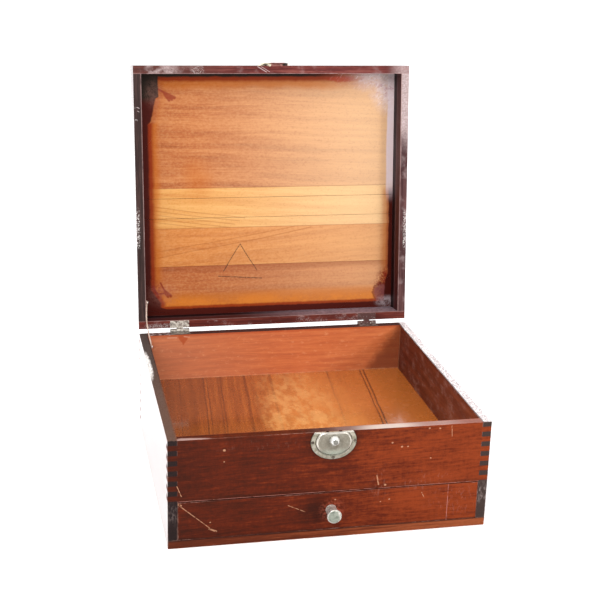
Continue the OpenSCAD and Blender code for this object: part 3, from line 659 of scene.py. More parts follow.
def board_material(name, index, seed, tones, spread, wave, rise, band_width):
    """One of the four boards that close the lid."""
    g = Graph(name, Specular_IOR_Level=0.06, Coat_Roughness=0.1, Coat_IOR=1.8)
    x, y, z = g.place(closed_lid=True)
    u, v = x + HALF_W, y + HALF_D
    wood = Wood(g, x, y, z, seed, wave=wave, rise=rise, band=band_width, length=200,
                fibre=(26, 1.8), share=0.3)
    # paler and creamier towards the right: a painted sheen
    painted_sheen = g.step(u, 40, 330)
    colour = wood.colour(*tones, spread, painted_sheen * 0.08, 0.1)
    colour = g.mix(painted_sheen * (0.62 if index < 2 else 0.3), colour, linear(214, 184, 146))
    shimmer = g.noise(x / 3.2, y / 2.2, seed, 3, 0.65)
    colour = g.mix(g.step(shimmer, 0.4, 0.75) * 0.3, colour, linear(190, 144, 100))
    colour = g.mix(g.step(shimmer, 0.5, 0.3) * 0.18, colour, linear(122, 66, 38))
    if index == 1:      # dark lines that fan out from the left of the pale board
        fan = greatest(g, [g.line(u, v + wood.sway * 5, (12, 160 + k * 4.5),
                                  (130 - k * 6, 178 + k * 3.4), 0.9) for k in range(5)])
        colour = g.mix(fan * 0.3, colour, linear(120, 66, 30))
    if index == 2:      # a pair of lines that climbs across the middle board
        pair = g.most(g.line(u, v + wood.sway * 6, (20, 224), (210, 190), 0.9),
                      g.line(u, v + wood.sway * 6, (14, 218), (190, 188), 0.7))
        colour = g.mix(pair * 0.35, colour, linear(128, 66, 30))
    if index == 3:
        gold = g.step(abs(v - 274 + wood.sway * 10), 13, 4)
        colour = g.mix(gold * 0.5, colour, linear(184, 108, 44))
        shade = g.step(v - wood.sway * 6, 243, 234)
        colour = g.mix(shade * 0.4, colour, linear(120, 58, 36))
    joint = g.step(g.least(v - BOARD_EDGES[index], BOARD_EDGES[index + 1] - v), 0.8, 0.1)
    colour = g.mix(joint * 0.3, colour, linear(90, 40, 20))
    if index > 1:       # a joiner's pencil strokes on the two boards by the hinges
        dust = g.step(g.noise(u / 0.9, v / 0.9, 1.0, 2), 0.3, 0.55)
        strokes = greatest(g, [g.line(u + wood.sway * 3, v, start, end, 0.8) for start, end in (
            ((104, 240), (124, 208)), ((124, 208), (144, 240)), ((98, 246), (150, 250)))])
        colour = g.mix(strokes * dust * 0.85, colour, linear(44, 36, 34))
    colour, thick = varnish(g, colour, u, v, 2.5)
    # the outside of the lid is dark and polished
    outside = g.step(z, LID_PANEL + 0.5, LID_PANEL + 1.0)
    dark = wood.colour(linear(44, 17, 12), linear(86, 32, 20), linear(126, 56, 34), 0.2)
    rubbed = g.step(g.noise(x / 26, y / 15, seed + 5, 5, 0.7), 0.55, 0.72) * 0.3
    dark = g.mix(rubbed, dark, linear(140, 82, 58))
    dark = g.mix(joint * 0.6, dark, linear(22, 10, 8))
    colour = g.mix(outside, colour, dark)
    outer_gloss(g, g.step(abs(x), HALF_W - 0.3, HALF_W - 0.1), outside * 0.5)
    roughness = g.step(wood.blotch, 0.3, 0.7, 0.4, 0.5) - thick * 0.1
    height = wood.fibre * 0.3 + shimmer * 0.3 - joint * 1.2 + thick * 0.4
    return g.finish(colour, roughness, height, 0.2)


BOARDS = (
    ("lid_board_front", 1.3, ((128, 66, 37), (157, 91, 52), (182, 121, 75)), 0.26, 10, -0.03, 7),
    ("lid_board_pale", 4.1, ((170, 106, 52), (192, 138, 76), (208, 163, 102)), 0.34, 8, -0.05, 8),
    ("lid_board_middle", 6.4, ((152, 86, 42), (178, 112, 58), (196, 134, 76)), 0.3, 10, 0.07, 8),
    ("lid_board_hinge", 9.2, ((132, 64, 34), (158, 88, 48), (180, 112, 64)), 0.3, 8, 0.02, 7),
)
for index, (name, seed, tones, spread, wave, rise, width) in enumerate(BOARDS):
    tones = [linear(*t) for t in tones]
    material_on(nodes[name], board_material(name, index, seed, tones, spread, wave, rise, width))
    bevelled(nodes[name], 0.12)


def rail_material(name, axis, seed):
    """A lid rail: dark, thickly varnished, chipped along its rim."""
    g = Graph(name, Specular_IOR_Level=0.08, Coat_Roughness=0.1, Coat_IOR=1.8)
    place = g.place(closed_lid=True)
    x, y, z = place
    u, v = x + HALF_W, y + HALF_D
    along, across, depth = (x, y, z) if axis == "x" else (y, x, z)
    wood = Wood(g, along, across, depth, seed, wave=4, band=3, length=60, fibre=(18, 1.2))
    tones = {
        "lid_front_rail": ((56, 25, 23), (90, 38, 35), (124, 70, 62)),
        "lid_back_rail": ((56, 24, 21), (84, 34, 28), (116, 56, 44)),
        "lid_left_rail": ((34, 24, 23), (48, 35, 33), (72, 52, 48)),
        "lid_right_rail": ((46, 25, 26), (66, 40, 40), (96, 64, 62)),
    }[name]
    rim_colour = wood.colour(*(linear(*t) for t in tones), 0.25)
    speckle = g.step(g.noise(x / 1.5, y / 1.5, z / 1.5 + seed, 3, 0.7), 0.42, 0.62)
    patchy = g.noise(x / 14, y / 14, seed, 3, 0.6)
    white = linear(180, 162, 160)
    if name == "lid_front_rail":
        rim_colour = g.mix(g.step(u, 150, 40) * 0.5, rim_colour, linear(54, 42, 36))
        haze = g.step(abs(u - 30), 26, 12) * g.step(patchy, 0.35, 0.55) * 0.6
        haze = g.most(haze, g.step(u, 292, 312) * 0.6)
        haze = g.most(haze, g.step(patchy, 0.5, 0.68) * 0.2)
        rim_colour = g.mix(haze * g.step(speckle, 0, 1, 0.6, 1.0), rim_colour, white)
    elif name == "lid_right_rail":
        haze = g.step(v + patchy * 50, 130, 90) * g.step(speckle, 0, 1, 0.55, 0.9)
        haze = g.most(haze, g.step(patchy, 0.5, 0.7) * 0.25)
        rim_colour = g.mix(haze, rim_colour, white)
    elif name == "lid_back_rail":
        haze = g.step(patchy, 0.5, 0.65) * speckle * 0.35
        rim_colour = g.mix(haze, rim_colour, white)
    # the rounded inner corner of the rim shines along its length
    inward = abs(y) - IN_Y if axis == "x" else abs(x) - LID_IN_X
    scored = {"lid_front_rail": ((141, 0.6), (151, 6.6)),
              "lid_left_rail": ((46, 4), (47, 6))}.get(name)
    if scored:
        run, out = u if axis == "x" else v, 9 - inward
        cut = g.most(g.line(run, out, *scored, 0.6), g.line(run - 4, out, *scored, 0.4))
        rim_colour = g.mix(cut * 0.7, rim_colour, white)
    arris = g.step(abs(inward - 0.5), 0.7, 0.2) * g.step(patchy, 0.3, 0.5, 0.4, 1.0)
    rim_colour = g.mix(arris * 0.5, rim_colour, linear(150, 120, 116))
    # inner face: nearly black by the panel, red-brown by the rim
    deep = g.step(z, 132, 127)
    # a pale line along the middle of the inner face
    pale_line = g.step(abs(z - 130), 1.2, 0.4)
    inner = g.mix(deep, linear(24, 12, 13), linear(60, 24, 24))
    inner = g.mix(pale_line * 0.7, inner, linear(120, 88, 88))
    milk = g.noise(x / 4, y / 4, z / 4 + seed, 5, 0.75)
    veil = g.step(milk, 0.3, 0.6, 0.4, 1.3) * g.step(u, 110, 240) if name == "lid_back_rail" else (
        g.step(milk, 0.55, 0.75) * 0.3)
    inner = g.mix(veil * 0.6, inner, linear(150, 130, 138))
    rim = g.step(z, LID_RIM + 0.9, LID_RIM + 0.4)
    outer = wood.colour(linear(40, 16, 13), linear(76, 30, 22), linear(112, 50, 34), 0.2)
    to_outside = abs(y) - (HALF_D - SKIN) if axis == "x" else abs(x) - (HALF_W - SKIN)
    outside = g.step(to_outside, -0.2, 0.1)
    colour = g.mix(rim, g.mix(outside, inner, outer), rim_colour)
    low, high = {
        "lid_front_rail": ((-HALF_W, -HALF_D, LID_RIM), (HALF_W, -LID_IN_Y, LID_PANEL)),
        "lid_back_rail": ((-HALF_W, LID_IN_Y, LID_RIM), (HALF_W, HALF_D, LID_PANEL)),
        "lid_left_rail": ((-HALF_W, -HALF_D, LID_RIM), (-LID_IN_X, HALF_D, LID_PANEL)),
        "lid_right_rail": ((LID_IN_X, -HALF_D, LID_RIM), (HALF_W, HALF_D, LID_PANEL)),
    }[name]
    worn = worn_edges(g, place, low, high, 1.6, seed)
    colour = g.mix(worn * 0.5, colour, g.mix(g.noise(x / 5, y / 5, z / 5), linear(110, 66, 60),
                                             linear(196, 172, 168)))
    # bare chips along the outer edge of the rim
    chip = g.step(g.noise(x / 1.0, y / 1.2, z / 1.0 + seed, 3, 0.7), 0.52, 0.6)
    where = {"lid_left_rail": (g.step(abs(v - 183), 26, 16), g.step(abs(v - 46), 1.6, 0.8) * 0.5,
                               g.step(abs(v - 60), 1.6, 0.8) * 0.5),
             "lid_right_rail": (g.step(abs(v - 192), 26, 14),),
             "lid_front_rail": (g.step(abs(u - 72), 9, 5) * 0.3,),
             "lid_back_rail": (g.step(abs(u - 26), 22, 14) * g.step(inward, 3, 5) * 0.6,)}[name]
    outer_half = g.step(inward, 4.5, 6.0) if axis == "y" else 1.0
    colour = g.mix(chip * greatest(g, where) * outer_half * rim * 0.95, colour,
                   linear(226, 220, 216))
    outer_gloss(g, g.step(abs(x), HALF_W - 0.3, HALF_W - 0.1))
    roughness = g.step(wood.blotch, 0.3, 0.7, 0.36, 0.5) + worn * 0.15
    return g.finish(colour, roughness, wood.fibre * 0.3 - wood.pore * 0.3 - worn * 0.6, 0.25)


for name, axis, seed in (("lid_front_rail", "x", 1.9), ("lid_back_rail", "x", 2.4),
                         ("lid_left_rail", "y", 7.7), ("lid_right_rail", "y", 8.8)):
    material_on(nodes[name], rail_material(name, axis, seed))
    bevelled(nodes[name], 0.35)


# ---------------------------------------------------------------- metal
OVAL_A, OVAL_B, OVAL_Z = 22.75, 18.7, 103.0
CATCH_FLANGE, STRIKE_FLANGE = 4.2, 1.0
NAIL_HOLE_R = 1.6
CATCH_NAILS = ((-20.85, OVAL_Z), (20.85, OVAL_Z), (0, 86.4))
STRIKE_NAILS = ((-10, 115.6), (10, 115.6), (0, 117.8))
BUTTON_HOLE_R = 5.0
LEG_SLOTS, LEG_SLOT_HALF = (-6.5, 6.5), 1.4     # for the strike's hook, in the catch's top edge


def metal_material(name, colour, worn_colour, roughness, spots=0.3):
    """Old plated metal: dull bloom, dark specks and fine scratches."""
    g = Graph(name, Metallic=1.0)
    x, y, z = g.place()
    bloom = g.noise(x / 6, y / 6, z / 6, 4, 0.65)
    base = g.mix(g.step(bloom, 0.35, 0.65), colour, worn_colour)
    specks = g.step(g.noise(x / 0.7, y / 0.7, z / 0.7, 2, 0.6), 0.62, 0.72)
    base = g.mix(specks * spots, base, linear(60, 52, 44))
    scratch = g.noise(x / 14 + 3, z / 0.25, y / 0.25, 2, 0.6)
    rough = g.step(bloom, 0.3, 0.7, roughness * 0.75, roughness * 1.3) + (scratch - 0.5) * 0.1
    return g.finish(base, rough, scratch * 0.4 - specks * 0.5, 0.2)


def oval_material():
    """The catch plate: a pale flange round a duller, yellowish pan, grime in the step."""
    g = Graph("catch_nickel", Metallic=1.0)
    x, y, z = g.place()
    ex, ez = x / OVAL_A, (z - OVAL_Z) / OVAL_B
    away = g.math("SQRT", ex * ex + ez * ez)
    bloom = g.noise(x / 4, y / 4, z / 4, 4, 0.65)
    pan = g.mix(g.step(z, 98, 90), linear(120, 114, 102), linear(142, 148, 134))
    pan = g.mix(g.step(away, 0.5, 0.25) * 0.6, pan, linear(84, 78, 68))
    flange = g.mix(g.step(bloom, 0.35, 0.65), linear(122, 118, 102), linear(152, 146, 132))
    # painted highlight on the upper part of the pan's sloping edge
    bevel = g.step(abs(away - 0.735), 0.05, 0.02) * g.step(z, 92, 101)
    pan = g.mix(bevel * 0.75, pan, linear(214, 208, 196))
    base = g.mix(g.step(away, 0.785, 0.81), pan, flange)
    base = g.mix(g.step(bloom, 0.4, 0.7) * 0.3, base, linear(170, 166, 154))
    darkening = g.most(g.step(abs(away - 0.8), 0.02, 0.006) * 0.35, g.step(away, 0.965, 0.99) * 0.6)
    darkening = g.most(darkening, g.step(abs(away - 0.6), 0.02, 0.006) * 0.15)
    base = g.mix(darkening, base, linear(62, 56, 40))
    # painted highlight along the rounded top edge
    top = g.step(z, RIM - 2.4, RIM - 0.8)
    base = g.mix(top * 0.7, base, linear(206, 200, 190))
    specks = g.step(g.noise(x / 0.8, y / 0.8, z / 0.8, 2, 0.6), 0.62, 0.72)
    base = g.mix(specks * 0.2, base, linear(60, 52, 44))
    rough = g.step(bloom, 0.3, 0.7, 0.26, 0.4)
    return g.finish(base, rough, bloom * 0.5 - specks * 0.4, 0.25)


def button_material():
    """The push button: bright nickel, painted dark at its nose and low side as a dark reflection.
    """
    g = Graph("button_nickel", Metallic=0.6)
    x, y, z = g.place()
    away = g.math("SQRT", x * x + (z - button_z) * (z - button_z))
    # painted dark reflection at the nose and over the lower side
    dark_reflection = g.step(away + (g.noise(x / 2, y / 2, z / 2, 3) - 0.5) * 1.4, 3.0, 2.1)
    dark_reflection = g.most(dark_reflection, g.step(z - button_z, -2.2, -4.2) * 0.6)
    base = g.mix(g.noise(x / 3, y / 3, z / 3), linear(196, 194, 188), linear(226, 224, 220))
    base = g.mix(dark_reflection * 0.85, base, linear(72, 70, 60))
    return g.finish(base, g.step(dark_reflection, 0, 1, 0.2, 0.4), dark_reflection * -0.3, 0.1)


def knob_material():
    """The knob: bright at its neck and rim, dull and greenish over the face, with a painted
    highlight at the face's right edge.
    """
    g = Graph("knob_metal", Metallic=0.6)
    x, y, z = g.place()
    away = g.math("SQRT", x * x + (z - knob_z) * (z - knob_z))
    bloom = g.noise(x / 3, y / 3, z / 3, 4, 0.65)
    base = g.mix(g.step(bloom, 0.35, 0.65), linear(170, 166, 156), linear(206, 200, 192))
    dull = g.mix(g.step(bloom, 0.35, 0.65), linear(112, 118, 106), linear(136, 140, 128))
    face = g.step(y, -HALF_D - 14.6, -HALF_D - 15.6) * g.step(away, 7.0, 5.8)
    # painted highlight: the dull face gives way to bright metal towards its right edge
    base = g.mix(face * g.step(x * 1.2 + (z - knob_z) * 0.4, 6.4, 4.6, 0.2, 1.0), base, dull)
    specks = g.step(g.noise(x / 0.7, y / 0.7, z / 0.7, 2, 0.6), 0.62, 0.72)
    base = g.mix(specks * 0.3, base, linear(60, 52, 44))
    return g.finish(base, g.step(bloom, 0.3, 0.7, 0.24, 0.38), specks * -0.5, 0.2)


def strike_material(name):
    """The lid's half of the catch: chalky at its left end, stained red-brown further along."""
    g = Graph(name)
    x, y, z = g.place(closed_lid=True)
    bloom = g.noise(x / 3, y / 3, z / 3, 4, 0.7)
    along = x + (bloom - 0.5) * 8
    crust = g.mix(bloom, linear(188, 180, 150), linear(226, 220, 200))
    stain = g.mix(g.noise(x / 2, y / 2, z / 2, 3), linear(96, 42, 38), linear(150, 96, 88))
    colour = g.mix(g.step(along, -7, -3), crust, stain)
    band = g.step(along, 10.5, 12.5) * g.step(along, 16, 14.5)
    colour = g.mix(band, colour, linear(52, 44, 38))
    colour = g.mix(g.step(along, 15, 16.5), colour, linear(200, 192, 180))
    return g.finish(colour, g.step(bloom, 0.3, 0.7, 0.45, 0.8), bloom, 0.4,
                    g.step(g.noise(x / 4 + 2, y / 4, z / 4, 3), 0.5, 0.6, 0.0, 0.6))


steel = metal_material("fastener_steel", linear(60, 52, 46), linear(104, 96, 86), 0.45, spots=0.7)
pin_steel = metal_material("pin_steel", linear(220, 208, 204), linear(236, 228, 224), 0.4,
                           spots=0.1)
spring_steel = metal_material("spring_steel", linear(150, 150, 150), linear(170, 170, 168), 0.25)
inner_steel = metal_material("latch_steel", linear(100, 92, 84), linear(140, 132, 122), 0.4)


def leaf_material(name, chalky, hidden, closed_lid):
    """A hinge leaf: worn steel, half hidden by dark varnish and chalky corrosion."""
    g = Graph(name)
    x, y, z = g.place(closed_lid)
    bloom = g.noise(x / 3.0, y / 3.0, z / 3.0, 5, 0.75)
    steel_colour = g.mix(g.noise(x / 8, y / 8, z / 8), linear(96, 88, 82), linear(150, 142, 134))
    covered = g.step(g.noise(x / 7 + 4, y / 5, z / 5, 4, 0.7) + (hidden - 0.5), 0.4, 0.6)
    colour = g.mix(covered, steel_colour, linear(66, 28, 23))
    chalk = g.step(bloom, 0.62 - chalky, 0.84 - chalky)
    crust = g.mix(g.noise(x / 1.2, y / 1.2, z / 1.2, 3), linear(166, 156, 142),
                  linear(208, 202, 190))
    colour = g.mix(chalk, colour, crust)
    coated = g.most(chalk, covered)
    return g.finish(colour, g.step(coated, 0, 1, 0.4, 0.7), chalk * 1.2 + bloom * 0.4,
                    0.5, g.step(coated, 0, 1, 1.0, 0.0))


for name, material in {
    "left_hinge_case_leaf": leaf_material("left_case_leaf", 0.16, 0.3, False),
    "left_hinge_lid_leaf": leaf_material("left_lid_leaf", 0.24, 0.5, True),
    "right_hinge_case_leaf": leaf_material("right_case_leaf", 0.12, 0.6, False),
    "right_hinge_lid_leaf": leaf_material("right_lid_leaf", 0.07, 0.8, True),
}.items():
    material_on(nodes[name], material)
    bevelled(nodes[name], 0.12)
for name in ("bottom_screws", "drawer_nails", "knob_screw", "lid_nails", "catch_case",
             "catch_nails", "strike_nails", "left_hinge_pin", "right_hinge_pin",
             "hinge_case_screws", "hinge_lid_screws"):
    material_on(nodes[name], steel)
for name in ("stay_case_pin", "stay_lid_pin"):
    material_on(nodes[name], pin_steel)
material_on(nodes["latch_plate"], inner_steel)
material_on(nodes["strike_hook"], strike_material("hook_metal"))
for name in ("latch_plate", "strike_hook"):
    bevelled(nodes[name], 0.08)


def new_piece(name, mesh, material, body, slot, *replaced):
    obj = bpy.data.objects.new(name, mesh)
    scene.collection.objects.link(obj)
    obj.data.materials.append(material)
    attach(obj, body)
    if replaced:
        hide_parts(*replaced)
    return obj


def mesh_from(name, vertices, faces, sharp=30):
    mesh = bpy.data.meshes.new(name)
    mesh.from_pydata([tuple(c * MM for c in v) for v in vertices], [], faces)
    mesh.validate()
    made = bmesh.new()
    made.from_mesh(mesh)
    bmesh.ops.recalc_face_normals(made, faces=made.faces)
    made.to_mesh(mesh)
    made.free()
    mesh.shade_smooth()
    mesh.set_sharp_from_angle(angle=math.radians(sharp))
    return mesh


def lathe(name, profile, centre, sides=72):
    """A turned piece about -Y through centre; profile is (radius, distance in front)."""
    vertices, faces = [], []
    rings = []
    for radius, out in profile:
        if radius < 1e-6:
            rings.append([len(vertices)])
            vertices.append((centre[0], centre[1] - out, centre[2]))
            continue
        rings.append(list(range(len(vertices), len(vertices) + sides)))
        for k in range(sides):
            a = 2 * math.pi * k / sides
            vertices.append((centre[0] + radius * math.cos(a), centre[1] - out,
                             centre[2] + radius * math.sin(a)))
    for a, b in zip(rings, rings[1:]):
        for k in range(sides):
            n = (k + 1) % sides
            quad = [a[k % len(a)], a[n % len(a)], b[n % len(b)], b[k % len(b)]]
            faces.append(list(dict.fromkeys(quad)))
    return mesh_from(name, vertices, faces)


def arc(cx, cy, r, start, end, count=8):
    """Points of a circular arc in a profile, angles in degrees."""
    return [(cx + r * math.cos(math.radians(a)), cy + r * math.sin(math.radians(a)))
            for a in np.linspace(start, end, count)]


# ---------------------------------------------------------------- stay cord
CORD_R = 0.75
CORD_PITCH = 4.5         # length of one turn of the twist
LOOP_R = 1.57            # from a pin's axis to the middle of the cord in its loop
LOOP_PITCH = 9.86        # one turn goes once round a loop, so its ends meet
ROUTE = [
    (-149.7, 113.6, 112.2), (-149.8, 115.8, 114.6), (-150.3, 119.6, 117.4), (-151, 124.8, 120.8),
    (-151.6, 130.6, 124.8), (-151.9, 136.6, 129.2), (-151.9, 142.4, 133.8), (-151.4, 148, 138.2),
    (-150.8, 153.2, 142.2), (-150.1, 158.3, 146.1),
]


def resample(points, spacing):
    """Points at an even spacing on a smooth curve through the given ones."""
    p = np.array(points, float)
    p = np.vstack([2 * p[0] - p[1], p, 2 * p[-1] - p[-2]])
    dense = []
    for a, b, c, d in zip(p, p[1:], p[2:], p[3:]):
        for t in np.linspace(0, 1, 24, endpoint=False):
            dense.append(0.5 * (2 * b + (c - a) * t + (2 * a - 5 * b + 4 * c - d) * t * t
                                + (3 * b - 3 * c + d - a) * t ** 3))
    dense.append(p[-2])
    dense = np.array(dense)
    run = np.concatenate([[0], np.cumsum(np.linalg.norm(np.diff(dense, axis=0), axis=1))])
    marks = np.linspace(0, run[-1], max(2, int(run[-1] / spacing) + 1))
    return np.column_stack([np.interp(marks, run, dense[:, k]) for k in range(3)]), run[-1]


def strand(path, radius, pitch, sides=24, lobes=3, depth=0.16, closed=False):
    """A twisted cord along path: a lobed section that turns as it goes."""
    count = len(path)
    tangents = np.gradient(path, axis=0)
    if closed:
        tangents = np.roll(path, -1, axis=0) - np.roll(path, 1, axis=0)
    tangents /= np.linalg.norm(tangents, axis=1)[:, None]
    side = np.cross(tangents[0], (1, 0, 0) if abs(tangents[0][0]) < 0.8 else (0, 0, 1))
    vertices, faces, run = [], [], 0.0
    for i in range(count):
        side = side - tangents[i] * np.dot(side, tangents[i])
        side /= np.linalg.norm(side)
        other = np.cross(tangents[i], side)
        if i:
            run += np.linalg.norm(path[i] - path[i - 1])
        for k in range(sides):
            a = 2 * math.pi * k / sides
            lobe = 1 - depth * (0.5 - 0.5 * math.cos(lobes * a - 2 * math.pi * run / pitch))
            vertices.append(path[i] + radius * lobe * (math.cos(a) * side + math.sin(a) * other))
    for i in range(count if closed else count - 1):
        for k in range(sides):
            a, b = i * sides + k, i * sides + (k + 1) % sides
            n = (i + 1) % count * sides - i * sides
            faces.append((a, a + n, b + n, b))
    if not closed:
        faces.append(tuple(range(sides)))
        faces.append(tuple(range((count - 1) * sides, count * sides)))
    return vertices, faces


def cord_material():
    g = Graph("cord_cotton", Specular_IOR_Level=0.2)
    x, y, z = g.place()
    fuzz = g.noise(x / 0.16, y / 0.16, z / 0.16, 3, 0.7)
    dirt = g.noise(x / 7, y / 7, z / 7, 3, 0.6)
    colour = g.mix(g.step(dirt, 0.35, 0.7), linear(192, 170, 156), linear(160, 136, 122))
    colour = g.mix(g.step(fuzz, 0.35, 0.65) * 0.35, colour, linear(112, 90, 78))
    return g.finish(colour, g.step(fuzz, 0, 1, 0.8, 1.0), fuzz, 0.5)


cotton = cord_material()
path, cord_length = resample(ROUTE, 0.3)
cord = bpy.data.objects.new("twisted_stay_cord", mesh_from(
    "twisted_stay_cord", *strand(path, CORD_R, CORD_PITCH), sharp=180))
scene.collection.objects.link(cord)
cord.data.materials.append(cotton)


def ring_path(centre, radius, count=90):
    """A circle about the X axis."""
    a = np.linspace(0, 2 * math.pi, count, endpoint=False)
    return np.column_stack([np.full(count, centre[0]), centre[1] + radius * np.cos(a),
                            centre[2] + radius * np.sin(a)])


for name, node, body in (("case_loop", "stay_case_loop", "case"),
                         ("lid_loop", "stay_lid_loop", "lid")):
    low, high = limits(node)
    centre = [(a + b) / 2 for a, b in zip(low, high)]
    ring = strand(ring_path(centre, LOOP_R), CORD_R, LOOP_PITCH, closed=True)
    new_piece(name, mesh_from(name, *ring, sharp=180), cotton, body,
                           "cord_cotton", node)
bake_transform(cord)
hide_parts("stay_cord")

# ---------------------------------------------------------------- knob, button and spring
knob_low, knob_high = limits("drawer_knob")
knob_z = (knob_low[2] + knob_high[2]) / 2
knob_profile = (
    [(1.55, 0), (5.2, 0), (5.4, 0.2), (5.4, 1.1)] + arc(5.1, 1.2, 0.3, 0, 70, 4)
    + [(5.05, 1.9), (4.95, 3.2), (4.9, 5.0), (4.9, 7.5), (4.9, 10.3)]
    + arc(6.45, 10.6, 1.55, 180, 105, 7) + arc(5.9, 14.7, 1.4, -70, 80, 14)
    + [(5.2, 16.35), (3.9, 16.75), (2.0, 16.95), (0, 17.0)]
)
new_piece("turned_knob", lathe("turned_knob", knob_profile, (0, -HALF_D, knob_z)),
          knob_material(), "drawer", "knob_metal", "drawer_knob")

button_low, button_high = limits("catch_button")
button_z = (button_low[2] + button_high[2]) / 2
tail = -(button_high[1] + HALF_D)
button_profile = (
    [(0, tail), (1.4, tail), (1.5, tail + 0.1), (1.5, -1.1), (1.8, -1.1), (1.8, 2.3), (4.8, 2.3),
     (4.9, 2.4), (4.9, 4.0)]
    + [(0.5 + 4.4 * math.cos(math.radians(a)), 4.0 + 4.8 * math.sin(math.radians(a)))
       for a in range(6, 91, 6)] + [(0, 8.8)]
)
new_piece("turned_button", lathe("turned_button", button_profile, (0, -HALF_D, button_z)),
          button_material(), "button", "nickel", "catch_button")

# ---------------------------------------------------------------- catch plate and strike plate
def pressed_oval(name, flange, top=None):
    """A dished oval of sheet metal. Under top, its dish is closed by a rounded upper edge."""
    # distance in from the outer edge, height above the wood, distance down from the top
    front = [(0, 0, 0), (0, 0.5, 0), (0.1, 0.75, 0), (0.35, 0.9, 0), (flange - 0.1, 0.9, 0)]
    front += [(flange + i, h, t) for i, h, t in (
        (0.15, 1.0, 0), (0.4, 1.3, 0), (0.7, 1.8, 0.02), (1.1, 2.35, 0.15), (1.6, 2.85, 0.4),
        (2.2, 3.15, 0.8), (2.9, 3.33, 1.4), (3.7, 3.39, 2.2), (4.8, 3.4, 4.0), (8.8, 3.4, 4.5))]
    back = [(flange + i, h, t) for i, h, t in (
        (8.8, 2.5, 4.5), (4.8, 2.5, 4.0), (3.2, 2.4, 1.9), (2.2, 1.9, 1.3), (1.4, 1.0, 0.95),
        (0.9, 0, 0.95))]
    sides = 160
    vertices, faces, rings = [], [], []
    for inset, height, down in front + back:
        a, b = OVAL_A - inset, max(OVAL_B - inset, 0.4)
        rings.append(len(vertices))
        for k in range(sides):
            t = 2 * math.pi * k / sides
            z = OVAL_Z + b * math.sin(t)
            if top is not None:
                limit = top - down
                z = min(z, limit) if inset < flange else (
                    limit - math.log1p(math.exp((limit - z) * 1.6)) / 1.6)
            vertices.append((a * math.cos(t), -HALF_D - height, z))
    rings.append(rings[0])
    for i, (r, s) in enumerate(zip(rings, rings[1:])):
        if i == len(front) - 1:
            continue
        for k in range(sides):
            n = (k + 1) % sides
            faces.append((r + k, r + n, s + n, s + k))
    faces.append(tuple(rings[len(front) - 1] + k for k in range(sides)))
    faces.append(tuple(rings[len(front)] + k for k in range(sides - 1, -1, -1)))
    return mesh_from(name, vertices, faces)


def cut_below(mesh, height):
    """Cuts a closed mesh at a level, keeps the upper part and closes the cut."""
    made = bmesh.new()
    made.from_mesh(mesh)
    cut = bmesh.ops.bisect_plane(
        made, geom=made.verts[:] + made.edges[:] + made.faces[:], plane_co=(0, 0, height * MM),
        plane_no=(0, 0, 1), clear_inner=True)
    edges = [e for e in cut["geom_cut"] if isinstance(e, bmesh.types.BMEdge)]
    bmesh.ops.triangle_fill(made, edges=edges, use_beauty=True)
    bmesh.ops.recalc_face_normals(made, faces=made.faces)
    made.to_mesh(mesh)
    made.free()


def round_hole(x, z, radius):
    return [(x + radius * math.cos(a), z + radius * math.sin(a))
            for a in np.linspace(0, 2 * math.pi, 48, endpoint=False)]


def pierced(obj, outlines, back=3.0, front=12.0):
    """Cuts openings along Y, given as outlines of (x, z), and keeps the result as the mesh."""
    tools = []
    for outline in outlines:
        n = len(outline)
        vertices = [(x, y, z) for y in (-HALF_D - front, -HALF_D + back) for x, z in outline]
        faces = [(k, (k + 1) % n, n + (k + 1) % n, n + k) for k in range(n)]
        faces += [tuple(range(n - 1, -1, -1)), tuple(range(n, 2 * n))]
        tool = bpy.data.objects.new("tool", mesh_from("tool", vertices, faces))
        scene.collection.objects.link(tool)
        cutter = obj.modifiers.new("opening", "BOOLEAN")
        cutter.object = tool
        cutter.solver = "EXACT"
        tools.append(tool)
    bpy.context.view_layer.update()
    evaluated = obj.evaluated_get(bpy.context.evaluated_depsgraph_get())
    result = bpy.data.meshes.new_from_object(evaluated)
    obj.modifiers.clear()
    obj.data = result
    for tool in tools:
        bpy.data.objects.remove(tool)
    result.shade_smooth()
    result.set_sharp_from_angle(angle=math.radians(SHARP_ANGLE))


catch = new_piece("catch_oval", pressed_oval("catch_oval", CATCH_FLANGE, RIM), oval_material(),
                  "case", "nickel", "catch_plate")
pierced(catch, [round_hole(x, z, NAIL_HOLE_R) for x, z in CATCH_NAILS]
        + [round_hole(0, button_z, BUTTON_HOLE_R)])
pierced(catch, [[(x - LEG_SLOT_HALF, RIM - 2), (x + LEG_SLOT_HALF, RIM - 2),
                 (x + LEG_SLOT_HALF, RIM + 1), (x - LEG_SLOT_HALF, RIM + 1)]
                for x in LEG_SLOTS], front=1.8)

strike_mesh = pressed_oval("strike_oval", STRIKE_FLANGE)
cut_below(strike_mesh, LID_RIM)
strike = bpy.data.objects.new("strike_oval", strike_mesh)
scene.collection.objects.link(strike)
strike.data.materials.append(strike_material("strike_metal"))
pierced(strike, [round_hole(x, z, NAIL_HOLE_R) for x, z in STRIKE_NAILS])
strike.data.transform(
    Matrix.Translation(PIN) @ Matrix.Rotation(-OPEN, 4, "X") @ Matrix.Translation(-PIN))
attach(strike, "lid")
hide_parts("strike_plate")

# ---------------------------------------------------------------- catch spring
spring_low, spring_high = limits("catch_spring")
turns, wire, coil_r = 3, 0.25, 2.6
angles = np.linspace(0, 2 * math.pi * turns, 40 * turns)
coil = np.column_stack([
    coil_r * np.cos(angles),
    np.linspace(spring_low[1] + wire, spring_high[1] - wire, len(angles)),
    button_z + coil_r * np.sin(angles)])
spring = new_piece("coil_spring", mesh_from("coil_spring", *strand(coil, wire, 1, 12, 1, 0.0)),
                   spring_steel, "case", "spring_steel", "catch_spring")
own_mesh(spring)

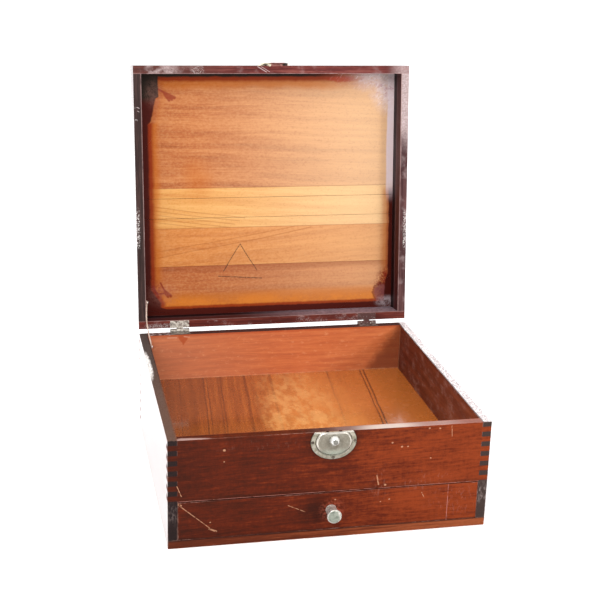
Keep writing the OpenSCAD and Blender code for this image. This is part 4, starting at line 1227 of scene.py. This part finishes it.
# ---------------------------------------------------------------- floor and light
floor_mesh = bpy.data.meshes.new("floor")
floor_mesh.from_pydata([(-30, -30, 0), (30, -30, 0), (30, 30, 0), (-30, 30, 0)], [], [(0, 1, 2, 3)])
floor = bpy.data.objects.new("floor", floor_mesh)
scene.collection.objects.link(floor)
paper = Graph("floor", Specular_IOR_Level=0.1)
px, py, pz = paper.place()
mottle = paper.noise(px / 90, py / 90, 0.0, 3)
floor_mesh.materials.append(paper.finish(
    paper.mix(mottle, (0.95, 0.95, 0.955, 1), (0.97, 0.97, 0.97, 1)), 0.9))

# a white room, brighter overhead, with the dark opening that the camera looks through
world = bpy.data.worlds.new("studio")
scene.world = world
world.use_nodes = True
sky = world.node_tree
toward = sky.nodes.new("ShaderNodeTexCoord").outputs["Generated"]


def sky_level(direction, start, end, low, high):
    """A light level that changes with the angle from a direction."""
    dot = sky.nodes.new("ShaderNodeVectorMath")
    dot.operation = "DOT_PRODUCT"
    dot.inputs[1].default_value = Vector(direction).normalized()
    sky.links.new(toward, dot.inputs[0])
    level = sky.nodes.new("ShaderNodeMapRange")
    level.interpolation_type = "SMOOTHSTEP"
    for name, value in (("From Min", start), ("From Max", end), ("To Min", low), ("To Max", high)):
        level.inputs[name].default_value = value
    sky.links.new(dot.outputs["Value"], level.inputs["Value"])
    return level.outputs[0]


room = sky.nodes.new("ShaderNodeMath")
room.operation = "MULTIPLY"
sky.links.new(sky_level((0, 0, 1), 0.2, 0.9, 1.1, 1.35), room.inputs[0])
sky.links.new(sky_level((-0.2, -0.9, 0.4), 0.8, 0.96, 1.0, 0.2), room.inputs[1])
sky.links.new(room.outputs[0], sky.nodes["Background"].inputs[1])
sky.nodes["Background"].inputs[0].default_value = (0.99, 0.99, 1.0, 1)


def softbox(name, position, target, size, watts, turn=0.0):
    light = bpy.data.lights.new(name, "AREA")
    light.shape = "RECTANGLE"
    light.size, light.size_y, light.energy = *size, watts
    obj = bpy.data.objects.new(name, light)
    scene.collection.objects.link(obj)
    aim = (Vector(target) - Vector(position)).to_track_quat("-Z", "Y").to_matrix().to_4x4()
    turned = Matrix.Rotation(math.radians(turn), 4, "Z")
    obj.matrix_world = Matrix.Translation(position) @ aim @ turned
    obj.visible_camera = False


softbox("key", (-0.7, -1.9, 1.75), (0, 0, 0.1), (1.5, 1.5), 48)
softbox("front", (1.25, -1.8, 0.8), (0, 0, 0.1), (0.35, 0.35), 17)
softbox("front_left", (-1.3, -1.5, 1.3), (0, 0, 0.1), (0.35, 0.35), 4)
softbox("back_right", (1.11, 2.65, 1.2), (0.155, 0, 0.114), (0.75, 0.16), 6, -49)
softbox("left_fill", (-1.7, 1.3, 0.9), (-0.2, 0, 0), (0.8, 0.8), 33)
